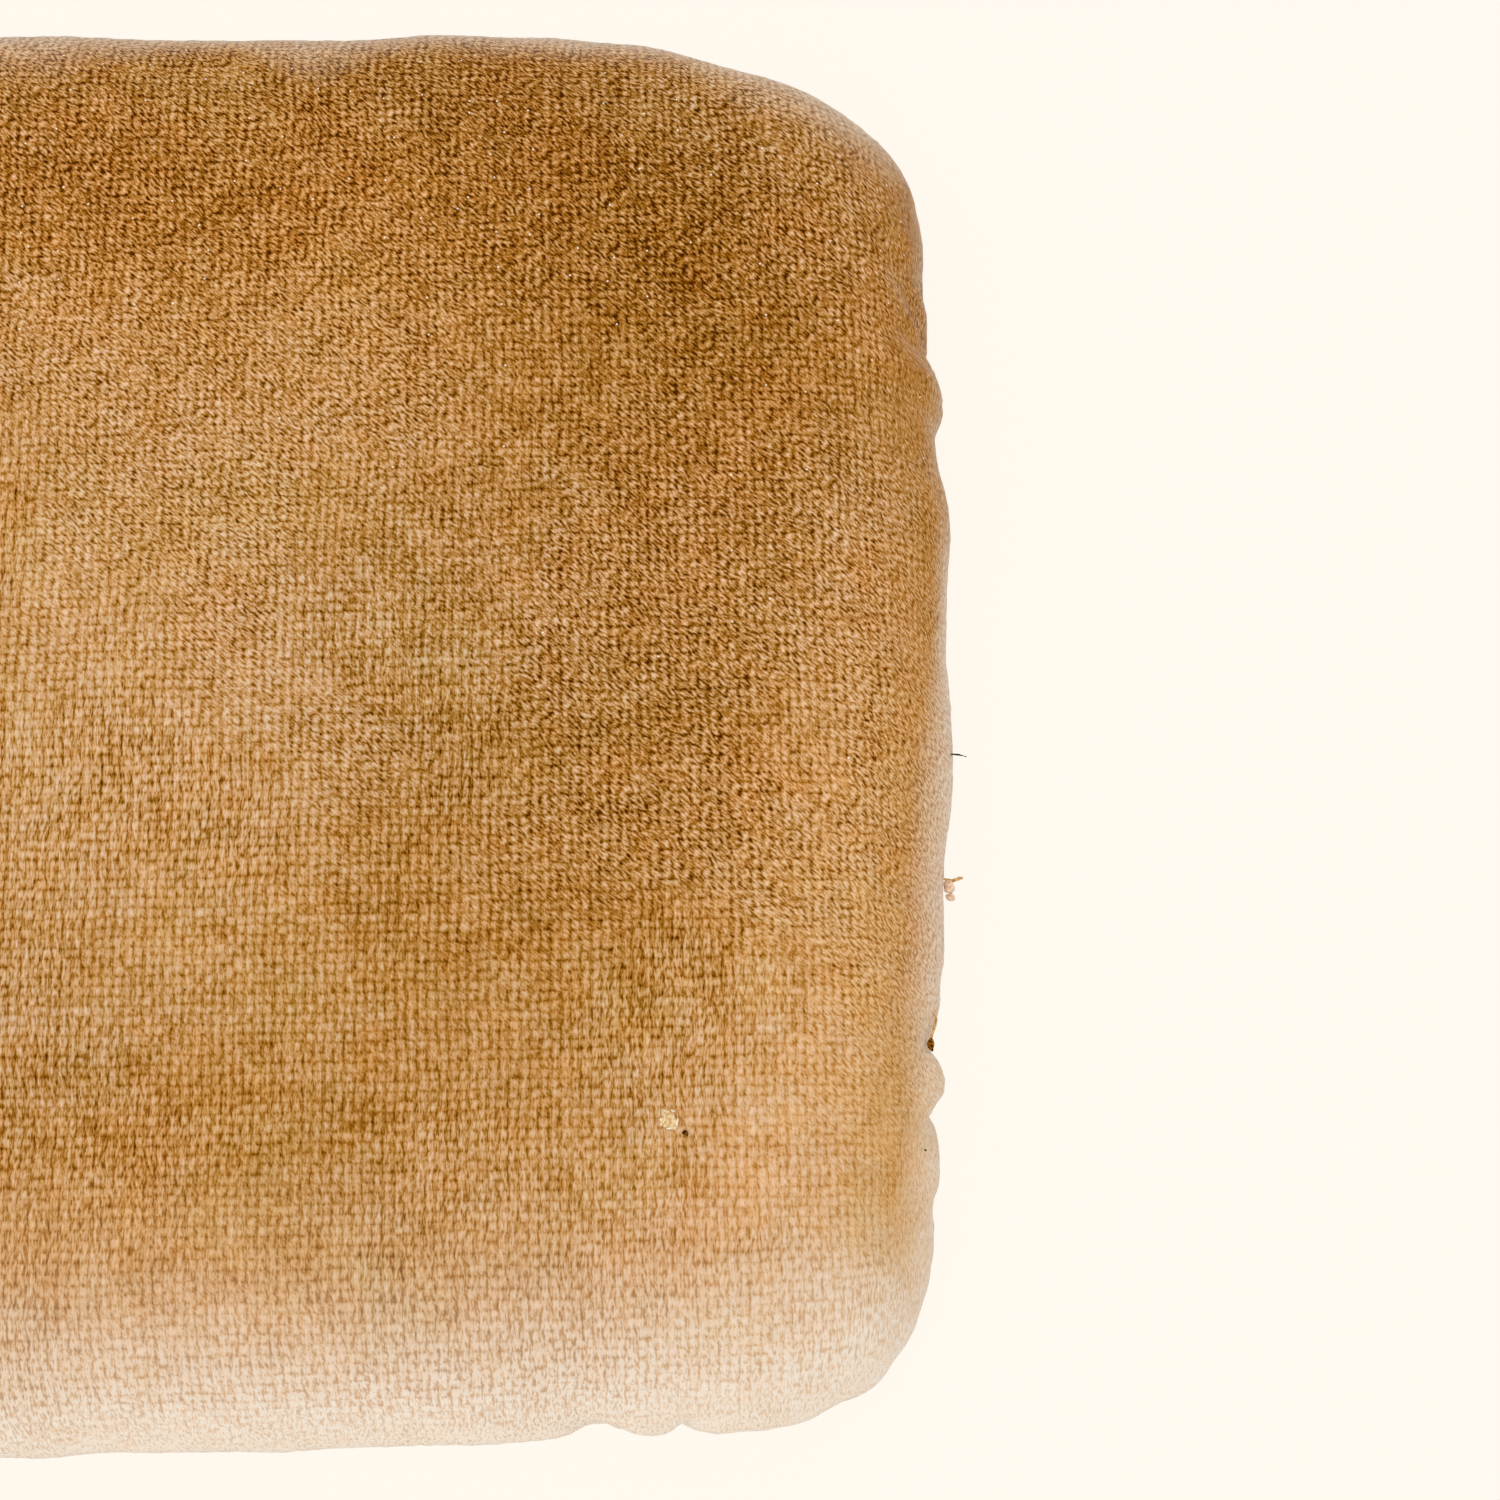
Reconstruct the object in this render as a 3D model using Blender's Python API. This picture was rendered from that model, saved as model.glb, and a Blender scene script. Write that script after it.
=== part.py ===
"""Upholstered chair seat pad, as an assembly of its separate pieces.

A plywood base carries a foam core and a wrap of wadding. A velvet cover goes over them,
turns under the edge of the base and is stapled to its underside. A dust cover, stapled on
last, closes the underside. Four T-nuts in the base take the bolts that come up through
the chair's frame.

Units are metres. +X is the width, +Y points to the rear edge and +Z is up. The origin is
at the centre of the pad's bounding box, on its lowest face.
"""

import math

import bmesh
import bpy
import numpy as np
from mathutils import Matrix

# The pad as a whole
WIDTH = 0.460
DEPTH = 0.417
HEIGHT = 0.058
REAR_CORNER_RADIUS = 0.080
FRONT_CORNER_RADIUS = 0.056
REAR_BOW = math.radians(0.6)  # how far each half of the rear edge turns
SIDE_BOW = math.radians(6.0)  # how far a whole side turns
FRONT_BOW = math.radians(6.5)  # how far each half of the front edge turns
OUTLINE_STEPS = (2, 7, 4, 7, 3)  # facets of half a rear edge, corner, side, corner, half a front

# The rounded edge of the upholstery
ROLL_WIDTH = 0.050
ROLL_DROP = 0.041
ROLL_EXPONENT = 1.85
ROLL_STEPS = 7
ROLL_FRONT_SHARE = 0.10  # how much wider the roll is at the front, and narrower at the rear
TURN_RADIUS = 0.0057  # outer radius where the cover turns under the base
TURN_STEPS = 3

# Layers, from the underside up
GAP = 0.0003  # clearance between pieces that touch
DUST_COVER_THICKNESS = 0.0013
COVER_THICKNESS = 0.002
BASE_THICKNESS = 0.012
WADDING_THICKNESS = 0.004
FLANGE_WIDTH = 0.040  # how far the cover reaches in under the base
DUST_COVER_INSET = 0.018

# T-nuts
T_NUT_PLACES = [(x, y) for x in (-0.150, 0.150) for y in (-0.130, 0.130)]
T_NUT_FLANGE_RADIUS = 0.0095
T_NUT_FLANGE_THICKNESS = 0.0012
T_NUT_BARREL_RADIUS = 0.0039
T_NUT_BARREL_LENGTH = 0.0095
T_NUT_BORE_RADIUS = 0.0026
T_NUT_SIDES = 16
PRONG_INNER_RADIUS = 0.0074
PRONG_OUTER_RADIUS = 0.0088
PRONG_LENGTH = 0.006
BOLT_HOLE_RADIUS = 0.007  # in the dust cover, where a bolt goes through

# Staples
STAPLE_CROWN = 0.0093
STAPLE_LEG = 0.008
STAPLE_WIRE_WIDTH = 0.00095
STAPLE_WIRE_THICKNESS = 0.0006
STAPLE_BEND = 0.0003
STAPLE_TILT = math.radians(7.0)  # hand stapling is never quite square to the edge
COVER_STAPLES = 26
COVER_STAPLE_INSET = 0.032
DUST_COVER_STAPLES = 24
DUST_COVER_STAPLE_INSET = 0.024

# Heights of the layers
FLANGE_BOTTOM = DUST_COVER_THICKNESS + GAP
BASE_BOTTOM = FLANGE_BOTTOM + COVER_THICKNESS + GAP
BASE_TOP = BASE_BOTTOM + BASE_THICKNESS
FOAM_BOTTOM = BASE_TOP + GAP
WADDING_OFFSET = COVER_THICKNESS + GAP
FOAM_OFFSET = WADDING_OFFSET + WADDING_THICKNESS + GAP
BASE_INSET = FOAM_OFFSET

COLOURS = {
    "velvet": (0.462, 0.223, 0.083, 0.95, 0.0),
    "wadding": (0.85, 0.85, 0.83, 1.0, 0.0),
    "foam": (0.78, 0.66, 0.30, 0.95, 0.0),
    "plywood": (0.62, 0.44, 0.26, 0.7, 0.0),
    "cambric": (0.02, 0.02, 0.02, 0.95, 0.0),
    "zinc_steel": (0.62, 0.62, 0.60, 0.35, 1.0),
}


def clear_scene():
    for obj in list(bpy.data.objects):
        bpy.data.objects.remove(obj, do_unlink=True)


def make_materials():
    """One Principled material for each entry of COLOURS: red, green, blue, roughness, metallic."""
    for name, (red, green, blue, roughness, metallic) in COLOURS.items():
        material = bpy.data.materials.new(name)
        material.use_nodes = True
        shader = material.node_tree.nodes["Principled BSDF"]
        shader.inputs["Base Color"].default_value = (red, green, blue, 1.0)
        shader.inputs["Roughness"].default_value = roughness
        shader.inputs["Metallic"].default_value = metallic


def arc_step(heading, turn):
    """Where an arc of length 1 ends, from its first heading and how far it turns to the right."""
    return np.array(
        [
            (math.sin(heading) - math.sin(heading - turn)) / turn,
            (math.cos(heading - turn) - math.cos(heading)) / turn,
        ]
    )


def half_outline():
    """Points and outward normals of the right half of the outline, from rear to front.

    It is five arcs: half the rear edge, a corner, the side, a corner and half the front
    edge. The lengths of the three edges follow from the width and the depth.
    """
    quarter = math.pi / 2
    turns = (
        REAR_BOW,
        quarter - REAR_BOW - SIDE_BOW / 2,
        SIDE_BOW,
        quarter - FRONT_BOW - SIDE_BOW / 2,
        FRONT_BOW,
    )
    headings = [-sum(turns[:i]) for i in range(len(turns))]
    steps = [arc_step(h, t) for h, t in zip(headings, turns)]
    rear_corner = steps[1] * REAR_CORNER_RADIUS * turns[1]
    front_corner = steps[3] * FRONT_CORNER_RADIUS * turns[3]
    half_side = arc_step(headings[2], turns[2] / 2) / 2
    unknowns = np.array(
        [
            [steps[0][0], half_side[0], 0.0],
            [steps[0][1], steps[2][1], steps[4][1]],
            [steps[0][0], steps[2][0], steps[4][0]],
        ]
    )
    wanted = np.array(
        [
            WIDTH / 2 - rear_corner[0],
            -DEPTH - rear_corner[1] - front_corner[1],
            -rear_corner[0] - front_corner[0],
        ]
    )
    rear, side, front = np.linalg.solve(unknowns, wanted)
    lengths = (
        rear,
        REAR_CORNER_RADIUS * turns[1],
        side,
        FRONT_CORNER_RADIUS * turns[3],
        front,
    )
    points, normals = [], []
    start = np.array([0.0, DEPTH / 2])
    for heading, turn, length, count in zip(headings, turns, lengths, OUTLINE_STEPS):
        for i in range(count):
            share = i / count
            moved = arc_step(heading, turn * share) * length * share if i else 0.0
            points.append(start + moved)
            angle = heading - turn * share
            normals.append((-math.sin(angle), math.cos(angle)))
        start = start + arc_step(heading, turn) * length
    points.append(start)
    normals.append((0.0, -1.0))
    return np.array(points), np.array(normals)


def full_outline():
    """The whole outline, clockwise from the middle of the rear edge."""
    points, normals = half_outline()
    mirror = np.array([-1.0, 1.0])
    return (
        np.concatenate([points, points[-2:0:-1] * mirror]),
        np.concatenate([normals, normals[-2:0:-1] * mirror]),
    )


OUTLINE, OUTLINE_NORMALS = full_outline()


def inset_outline(inset):
    """The outline moved inwards, a little further at the front than at the rear."""
    share = 1.0 - ROLL_FRONT_SHARE * OUTLINE_NORMALS[:, 1]
    return OUTLINE - OUTLINE_NORMALS * (inset * share)[:, None]


def along_outline(inset, fraction):
    """(point, direction of travel) at a fraction of the way round the inset outline."""
    ring = inset_outline(inset)
    following = np.roll(ring, -1, axis=0)
    lengths = np.linalg.norm(following - ring, axis=1)
    distance = (fraction % 1.0) * lengths.sum()
    index = int(np.searchsorted(np.cumsum(lengths), distance, side="right"))
    along = distance - lengths[:index].sum()
    direction = (following[index] - ring[index]) / lengths[index]
    return ring[index] + direction * along, math.atan2(direction[1], direction[0])


def roll_profile(offset):
    """(inset, height) pairs from the flat top down the rounded edge, offset into the pad."""
    pairs = []
    for i in range(ROLL_STEPS + 1):
        angle = math.pi / 2 * i / ROLL_STEPS
        power = 2.0 / ROLL_EXPONENT
        inset = ROLL_WIDTH * (1.0 - math.sin(angle) ** power)
        height = HEIGHT - ROLL_DROP * (1.0 - math.cos(angle) ** power)
        # The inward normal turns from straight down at the top to level at the side.
        pairs.append((inset + offset * math.sin(angle), height - offset * math.cos(angle)))
    pairs[0] = (ROLL_WIDTH, HEIGHT - offset)
    pairs[-1] = (offset, HEIGHT - ROLL_DROP)
    return pairs


def turn_profile(offset):
    """(inset, height) pairs round the lower edge, from the side to the underside."""
    radius = TURN_RADIUS - offset
    centre_height = FLANGE_BOTTOM + TURN_RADIUS
    pairs = []
    for i in range(TURN_STEPS + 1):
        angle = math.pi / 2 * i / TURN_STEPS
        pairs.append((TURN_RADIUS - radius * math.cos(angle), centre_height - radius * math.sin(angle)))
    return pairs


def finish_mesh(bm, name):
    """The bmesh as a new mesh."""
    mesh = bpy.data.meshes.new(name)
    bm.to_mesh(mesh)
    bm.free()
    return mesh


def add_object(name, mesh, material=None):
    obj = bpy.data.objects.new(name, mesh)
    bpy.context.scene.collection.objects.link(obj)
    if material and not mesh.materials:
        mesh.materials.append(bpy.data.materials[material])
    return obj


def shade(obj, angle=35.0):
    obj.data.shade_smooth()
    obj.data.set_sharp_from_angle(angle=math.radians(angle))


def loft(name, profile, material):
    """One closed solid through the inset outlines of a profile, capped at both ends."""
    bm = bmesh.new()
    rings = []
    for inset, height in profile:
        rings.append([bm.verts.new((x, y, height)) for x, y in inset_outline(inset)])
    for lower, upper in zip(rings, rings[1:]):
        for i in range(len(lower)):
            j = (i + 1) % len(lower)
            bm.faces.new((lower[i], lower[j], upper[j], upper[i]))
    bm.faces.new(rings[0])
    bm.faces.new(rings[-1])
    bmesh.ops.recalc_face_normals(bm, faces=bm.faces[:])
    obj = add_object(name, finish_mesh(bm, name), material)
    shade(obj)
    return obj


def make_velvet_cover():
    """A shell over the top and the sides, with a flange turned in under the base."""
    inner = roll_profile(COVER_THICKNESS) + turn_profile(COVER_THICKNESS)
    outer = roll_profile(0.0) + turn_profile(0.0)
    flange_edge = [
        (FLANGE_WIDTH, FLANGE_BOTTOM + COVER_THICKNESS),
        (FLANGE_WIDTH, FLANGE_BOTTOM),
    ]
    return loft("velvet_cover", inner + flange_edge + outer[::-1], "velvet")


def make_wadding_wrap():
    """A shell over the foam and down past the edge of the base."""
    skirt_height = FLANGE_BOTTOM + TURN_RADIUS
    inner = roll_profile(WADDING_OFFSET + WADDING_THICKNESS)
    outer = roll_profile(WADDING_OFFSET)
    skirt = [
        (WADDING_OFFSET + WADDING_THICKNESS, skirt_height),
        (WADDING_OFFSET, skirt_height),
    ]
    return loft("wadding_wrap", inner + skirt + outer[::-1], "wadding")


def make_foam_core():
    profile = roll_profile(FOAM_OFFSET) + [(FOAM_OFFSET, FOAM_BOTTOM)]
    return loft("foam_core", profile, "foam")


def make_plywood_base():
    profile = [(BASE_INSET, BASE_TOP), (BASE_INSET, BASE_BOTTOM)]
    return loft("plywood_base", profile, "plywood")


def make_dust_cover():
    profile = [(DUST_COVER_INSET, DUST_COVER_THICKNESS), (DUST_COVER_INSET, 0.0)]
    return loft("dust_cover", profile, "cambric")


def staple_mesh(clearance=0.0):
    """A staple with its crown at the bottom, or the slot for one when it has a clearance."""
    half = STAPLE_CROWN / 2 + clearance
    wire = STAPLE_WIRE_THICKNESS + 2 * clearance
    bottom = -clearance
    top = STAPLE_LEG + clearance
    right = [
        (half - STAPLE_BEND, bottom),
        (half, bottom + STAPLE_BEND),
        (half, top),
        (half - wire, top),
        (half - wire, bottom + wire),
    ]
    outline = right + [(-x, z) for x, z in reversed(right)]
    width = STAPLE_WIRE_WIDTH / 2 + clearance
    bm = bmesh.new()
    near = [bm.verts.new((x, -width, z)) for x, z in outline]
    far = [bm.verts.new((x, width, z)) for x, z in outline]
    bm.faces.new(near)
    bm.faces.new(far)
    for i in range(len(outline)):
        j = (i + 1) % len(outline)
        bm.faces.new((near[i], near[j], far[j], far[i]))
    bmesh.ops.recalc_face_normals(bm, faces=bm.faces[:])
    return finish_mesh(bm, "staple" if clearance == 0.0 else "staple_slot")


def staple_places(count, inset, height, phase):
    """(location, turn about Z) of each staple of a row round the underside."""
    places = []
    for i in range(count):
        (x, y), heading = along_outline(inset, (i + phase) / count)
        tilt = STAPLE_TILT * math.sin(2.4 * i)
        places.append(((x, y, height), heading + tilt))
    return places


def add_staples(name, places, mesh, material=None):
    """One object for each place, all sharing the mesh."""
    staples = []
    for number, (location, turn) in enumerate(places, start=1):
        staple = add_object(f"{name}_{number:02d}", mesh, material)
        staple.location = location
        staple.rotation_euler[2] = turn
        staples.append(staple)
    return staples


def lathe_t_nut():
    """The T-nut: a threaded barrel below a round flange with four prongs, bored right through.

    Its local origin is on its axis, on the underside of the flange.
    """
    profile = [
        (T_NUT_BORE_RADIUS, T_NUT_FLANGE_THICKNESS),
        (T_NUT_FLANGE_RADIUS, T_NUT_FLANGE_THICKNESS),
        (T_NUT_FLANGE_RADIUS, 0.0),
        (PRONG_OUTER_RADIUS, 0.0),
        (PRONG_INNER_RADIUS, 0.0),
        (T_NUT_BARREL_RADIUS, 0.0),
        (T_NUT_BARREL_RADIUS, -T_NUT_BARREL_LENGTH),
        (T_NUT_BORE_RADIUS, -T_NUT_BARREL_LENGTH),
    ]
    prong_band = 3  # between the two prong radii
    bm = bmesh.new()
    rings = []
    for radius, height in profile:
        ring = []
        for k in range(T_NUT_SIDES):
            angle = 2 * math.pi * (k + 0.5) / T_NUT_SIDES
            ring.append(bm.verts.new((radius * math.cos(angle), radius * math.sin(angle), height)))
        rings.append(ring)
    prongs = []
    for band in range(len(rings)):
        inner, outer = rings[band], rings[(band + 1) % len(rings)]
        for k in range(T_NUT_SIDES):
            j = (k + 1) % T_NUT_SIDES
            face = bm.faces.new((inner[k], inner[j], outer[j], outer[k]))
            if band == prong_band and k % (T_NUT_SIDES // 4) == T_NUT_SIDES // 4 - 1:
                prongs.append(face)
    for face in bmesh.ops.extrude_discrete_faces(bm, faces=prongs)["faces"]:
        bmesh.ops.translate(bm, verts=face.verts[:], vec=(0.0, 0.0, -PRONG_LENGTH))
    bmesh.ops.recalc_face_normals(bm, faces=bm.faces[:])
    return finish_mesh(bm, "t_nut")


def add_t_nuts():
    mesh = lathe_t_nut()
    for number, (x, y) in enumerate(T_NUT_PLACES, start=1):
        nut = add_object(f"t_nut_{number}", mesh, "zinc_steel")
        nut.location = (x, y, BASE_TOP + GAP)
        shade(nut)


def add_cylinder(bm, x, y, radius, bottom, top):
    """An upright cylinder, with the same facets as a T-nut."""
    place = Matrix.Translation((x, y, (bottom + top) / 2))
    half_facet = Matrix.Rotation(math.pi / T_NUT_SIDES, 4, "Z")
    bmesh.ops.create_cone(
        bm,
        cap_ends=True,
        segments=T_NUT_SIDES,
        radius1=radius,
        radius2=radius,
        depth=top - bottom,
        matrix=place @ half_facet,
    )


def add_box(bm, low, high):
    size = [b - a for a, b in zip(low, high)]
    centre = [(a + b) / 2 for a, b in zip(low, high)]
    bmesh.ops.create_cube(bm, matrix=Matrix.LocRotScale(centre, None, size))


def add_prong_slots(bm, x, y):
    """Four slots round a T-nut's axis, deep enough for its prongs."""
    reach = PRONG_OUTER_RADIUS + GAP
    near = PRONG_INNER_RADIUS * math.cos(math.pi / T_NUT_SIDES) - GAP
    half_width = PRONG_OUTER_RADIUS * math.sin(math.pi / T_NUT_SIDES) + GAP
    bottom = BASE_TOP - PRONG_LENGTH
    top = BASE_TOP + GAP
    for sign in (-1, 1):
        along = sorted((sign * near, sign * reach))
        add_box(bm, (x + along[0], y - half_width, bottom), (x + along[1], y + half_width, top))
        add_box(bm, (x - half_width, y + along[0], bottom), (x + half_width, y + along[1], top))


def add_staple_slots(bm, places):
    """Copies of the staple's slot, at the places of a row of staples."""
    mesh = staple_mesh(GAP)
    for (x, y, z), turn in places:
        first = len(bm.verts)
        bm.from_mesh(mesh)
        bm.verts.ensure_lookup_table()
        added = bm.verts[first:]
        cosine, sine = math.cos(turn), math.sin(turn)
        for vert in added:
            east, north = vert.co.x, vert.co.y
            vert.co = (x + cosine * east - sine * north, y + sine * east + cosine * north, z + vert.co.z)
    bpy.data.meshes.remove(mesh)


def cut(target, bm, name):
    """Cuts the bmesh's bodies from the target with a Boolean."""
    cutter = add_object(name, finish_mesh(bm, name))
    cutter.hide_render = True
    cutter.display_type = "WIRE"
    modifier = target.modifiers.new("cut", "BOOLEAN")
    modifier.operation = "DIFFERENCE"
    modifier.solver = "EXACT"
    modifier.object = cutter


def cut_base(base, cover_places, dust_places):
    bm = bmesh.new()
    add_staple_slots(bm, cover_places + dust_places)
    for x, y in T_NUT_PLACES:
        add_cylinder(bm, x, y, T_NUT_BARREL_RADIUS + GAP, BASE_BOTTOM - GAP, BASE_TOP + GAP)
        add_prong_slots(bm, x, y)
    cut(base, bm, "base_cutter")


def cut_cover(cover, cover_places, dust_places):
    bm = bmesh.new()
    add_staple_slots(bm, cover_places + dust_places)
    cut(cover, bm, "cover_cutter")


def cut_dust_cover(dust_cover, dust_places):
    bm = bmesh.new()
    add_staple_slots(bm, dust_places)
    for x, y in T_NUT_PLACES:
        add_cylinder(bm, x, y, BOLT_HOLE_RADIUS, -GAP, DUST_COVER_THICKNESS + GAP)
    cut(dust_cover, bm, "dust_cover_cutter")


def cut_foam(foam):
    bm = bmesh.new()
    for x, y in T_NUT_PLACES:
        top = FOAM_BOTTOM + T_NUT_FLANGE_THICKNESS + GAP
        add_cylinder(bm, x, y, T_NUT_FLANGE_RADIUS + GAP, FOAM_BOTTOM - GAP, top)
    cut(foam, bm, "foam_cutter")


def main():
    clear_scene()
    make_materials()
    cover = make_velvet_cover()
    make_wadding_wrap()
    foam = make_foam_core()
    base = make_plywood_base()
    dust_cover = make_dust_cover()
    add_t_nuts()
    cover_places = staple_places(COVER_STAPLES, COVER_STAPLE_INSET, FLANGE_BOTTOM, 0.5)
    dust_places = staple_places(DUST_COVER_STAPLES, DUST_COVER_STAPLE_INSET, 0.0, 0.25)
    staple = staple_mesh()
    add_staples("cover_staple", cover_places, staple, "zinc_steel")
    add_staples("dust_cover_staple", dust_places, staple, "zinc_steel")
    cut_base(base, cover_places, dust_places)
    cut_cover(cover, cover_places, dust_places)
    cut_dust_cover(dust_cover, dust_places)
    cut_foam(foam)


main()
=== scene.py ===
"""The looks of the upholstered chair seat pad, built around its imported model.

The velvet cover, wadding, foam and dust cover are modelled here in place of their plain
solids. The plywood base, the T-nuts and the staples keep their solids and get finer
materials. Units are metres: +X is the width, +Y points to the rear edge and +Z is up.
"""

import math

import bmesh
import bpy
import numpy as np
from mathutils import Matrix, Vector


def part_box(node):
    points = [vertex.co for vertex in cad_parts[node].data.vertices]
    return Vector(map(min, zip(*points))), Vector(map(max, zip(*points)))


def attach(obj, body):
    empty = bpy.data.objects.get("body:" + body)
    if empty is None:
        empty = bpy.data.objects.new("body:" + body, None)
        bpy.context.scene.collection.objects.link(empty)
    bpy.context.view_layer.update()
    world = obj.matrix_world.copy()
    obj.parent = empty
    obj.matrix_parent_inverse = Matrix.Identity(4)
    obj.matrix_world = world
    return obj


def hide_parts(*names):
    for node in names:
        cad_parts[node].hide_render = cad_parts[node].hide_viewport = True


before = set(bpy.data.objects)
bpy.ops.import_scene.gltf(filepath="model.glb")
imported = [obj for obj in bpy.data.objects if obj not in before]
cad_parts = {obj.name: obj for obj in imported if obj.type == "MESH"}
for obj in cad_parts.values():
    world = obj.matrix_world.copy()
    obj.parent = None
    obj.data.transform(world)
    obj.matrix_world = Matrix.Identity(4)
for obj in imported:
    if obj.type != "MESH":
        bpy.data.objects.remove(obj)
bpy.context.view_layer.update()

COVER_LOW, COVER_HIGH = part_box("velvet_cover")
WIDTH = COVER_HIGH.x - COVER_LOW.x
DEPTH = COVER_HIGH.y - COVER_LOW.y
TOP = COVER_HIGH.z
FLANGE_BOTTOM = COVER_LOW.z

# The outline, as in the model: five arcs for each half
REAR_CORNER_RADIUS = 0.080
FRONT_CORNER_RADIUS = 0.056
REAR_BOW = math.radians(0.6)
SIDE_BOW = math.radians(6.0)
FRONT_BOW = math.radians(6.5)

# Points round the outline, closer together within the spread of each deep pleat
OUTLINE_POINTS = 800
DEEP_PLEAT = 0.002
PLEAT_DENSITY = 1.8
PLEAT_SPREAD = 0.009

# The rounded edge, as in the model
ROLL_WIDTH = 0.050
ROLL_DROP = 0.041
ROLL_EXPONENT = 1.85
ROLL_FRONT_SHARE = 0.10
TURN_RADIUS = 0.0057
FLANGE_WIDTH = 0.038
CLOTH_THICKNESS = 0.0018

# How deep a hollow of the edge can go: less beside the base than above it
BOARD_CLEARANCE = 0.0036
FOAM_CLEARANCE = 0.009
CLEARANCE_LOW = 0.0155
CLEARANCE_HIGH = 0.0200
BESIDE_BOARD = 0.0175  # below this height, the wadding's inner face is kept off the base's edge

# Rings of the cover's mesh, from the middle of the top to the edge under the base
FLAT_RINGS = 16
ROLL_RINGS = 26
SIDE_RINGS = 7
TURN_RINGS = 6
FLANGE_RINGS = 7
FOAM_FLAT_RINGS = 10
WADDING_FLAT_RINGS = 12

# The stuffed shape, and how deep each layer lies under the cover's face
CROWN = 0.0020
REAR_FULLNESS = 0.0026
PILE_UNEVENNESS = 0.00010
LOWEST = 0.0004  # the cover never sags onto the floor
GAP = 0.0003
WADDING_DEPTH = 0.0023
FOAM_DEPTH = 0.0066
FOAM_BOTTOM = 0.0162

# The dust cover
DUST_TOP = 0.0013
DUST_BOTTOM = 0.0003
DUST_THICKNESS = 0.0005
DUST_INSET = 0.018
DUST_HEM = 0.012
BOLT_HOLE_RADIUS = 0.007
CUTTER_HEIGHT = 0.010

# Lint, dirt and loose threads
LINT_PLACE = (0.1532, -0.1196, 0.0585)
LINT_RADII = (0.0021, 0.0027, 0.0006)
LINT_ARC_RADIUS = 0.00026
# Pale arcs round the flake, fibres and on its right and front side a painted highlight of its rim:
# first and last angle in degrees, and reach
LINT_ARCS = (
    (-38, 12, 0.0023),
    (-105, -65, 0.0023),
    (55, 80, 0.0025),
    (168, 190, 0.0021),
    (204, 220, 0.0024),
)
# Crumbs of dirt: X, Y, Z and radius
CRUMBS = (
    (0.1575, -0.1229, 0.0582, 0.00085),
    (0.0244, -0.0880, 0.0604, 0.00026),
    (0.0535, -0.2039, 0.0281, 0.00042),
    (0.2223, -0.1248, 0.0319, 0.00034),
)
FRAYED_STEM = (
    (0.2280, -0.0478, 0.0205),
    (0.2308, -0.0484, 0.0205),
    (0.2328, -0.0476, 0.0205),
    (0.2338, -0.0474, 0.0205),
)
STEM_RADIUS = 0.00055
# Two lumps of fluff below the stem: place, radii, turn and seed
FLUFF_PLACE = Vector((0.2298, -0.0502, 0.0205))
FLUFF_LUMPS = (
    (FLUFF_PLACE, (0.0015, 0.0019, 0.0010), -0.4, 5),
    (FLUFF_PLACE + Vector((0.0004, -0.0028, -0.0002)), (0.0011, 0.0013, 0.0008), 0.3, 6),
)
FLUFF_FIBRE_ANGLES = (-150, -120, -90, -60, -30)  # degrees
FLUFF_FIBRE_LENGTH = 0.0019
FLUFF_FIBRE_RADIUS = 0.00018
HAIR = ((0.2290, -0.0124, 0.0253), (0.2325, -0.0121, 0.0232), (0.2349, -0.0119, 0.0200))
HAIR_RADIUS = 0.00030
THREAD = (
    (0.2250, -0.0868, 0.0262),
    (0.2258, -0.0884, 0.0262),
    (0.2253, -0.0905, 0.0268),
    (0.2244, -0.0930, 0.0280),
    (0.2241, -0.0950, 0.0286),
)
THREAD_RADIUS = 0.00038
KNOT = (0.2240, -0.0958, 0.0286)
KNOT_RADII = (0.0010, 0.0017, 0.0011)
KNOT_TURN = math.radians(12)

# The weave: the tufts' spacing, and how far their rows and fibres stray
TUFT_ACROSS = 0.00270
TUFT_ALONG = 0.00262
TUFT_RANDOMNESS = 0.26
TUFT_STRETCH = 0.075
WEAVE_TURN = math.radians(-2.0)
ROW_WANDER = 0.0016
FIBRE_SLANT = math.radians(-48.0)

# How strongly each part of the weave lightens the pile; the light tuft middles with their dark
# gaps and pits, and each tuft's lit side, are painted highlight and painted shade
TUFT_WEIGHT = 0.205
LIT_SIDE_WEIGHT = 0.07
TUFT_SHADE_WEIGHT = 0.11
COLUMN_WEIGHT = 0.022
PIT_WEIGHT = 0.10

# The pile's colours from the deepest gap to the palest nap, by how light they are
PILE_COLOURS = (
    (0.04, (0.062, 0.013, 0.000)),
    (0.18, (0.198, 0.063, 0.000)),
    (0.30, (0.312, 0.123, 0.008)),
    (0.40, (0.416, 0.186, 0.034)),
    (0.50, (0.520, 0.265, 0.084)),
    (0.60, (0.610, 0.350, 0.153)),
    (0.70, (0.675, 0.420, 0.225)),
    (0.82, (0.740, 0.500, 0.310)),
    (0.95, (0.800, 0.570, 0.400)),
)
WORN_AND_SHEEN_COLOUR = (0.830, 0.742, 0.645)  # fibre ends that have lost their dye, and painted sheen along the edges
# Olive and rose clouds over these colours: tint, shift and scale of the noise
TINTS = (
    ((0.96, 1.00, 0.88), (0.0, 4.0, 0.0), 15.0),
    ((1.04, 0.96, 0.90), (3.1, 1.7, 0.0), 21.0),
)
WARM_SHIFT = (0.03, -0.03, -0.17)  # what a warmth of 1 adds to a white tint

# The camera
LENS = 55.2
CAMERA_TILT = math.radians(13.0)
CAMERA_TURN = math.radians(1.0)
CAMERA_DISTANCE = 0.625
CAMERA_AIM = (0.1723, -0.0228)

# The floor
FLOOR_HALF_SIZE = 40.0
FLOOR_DROP = 0.0002
FLOOR_GLOW = 0.95

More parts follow.
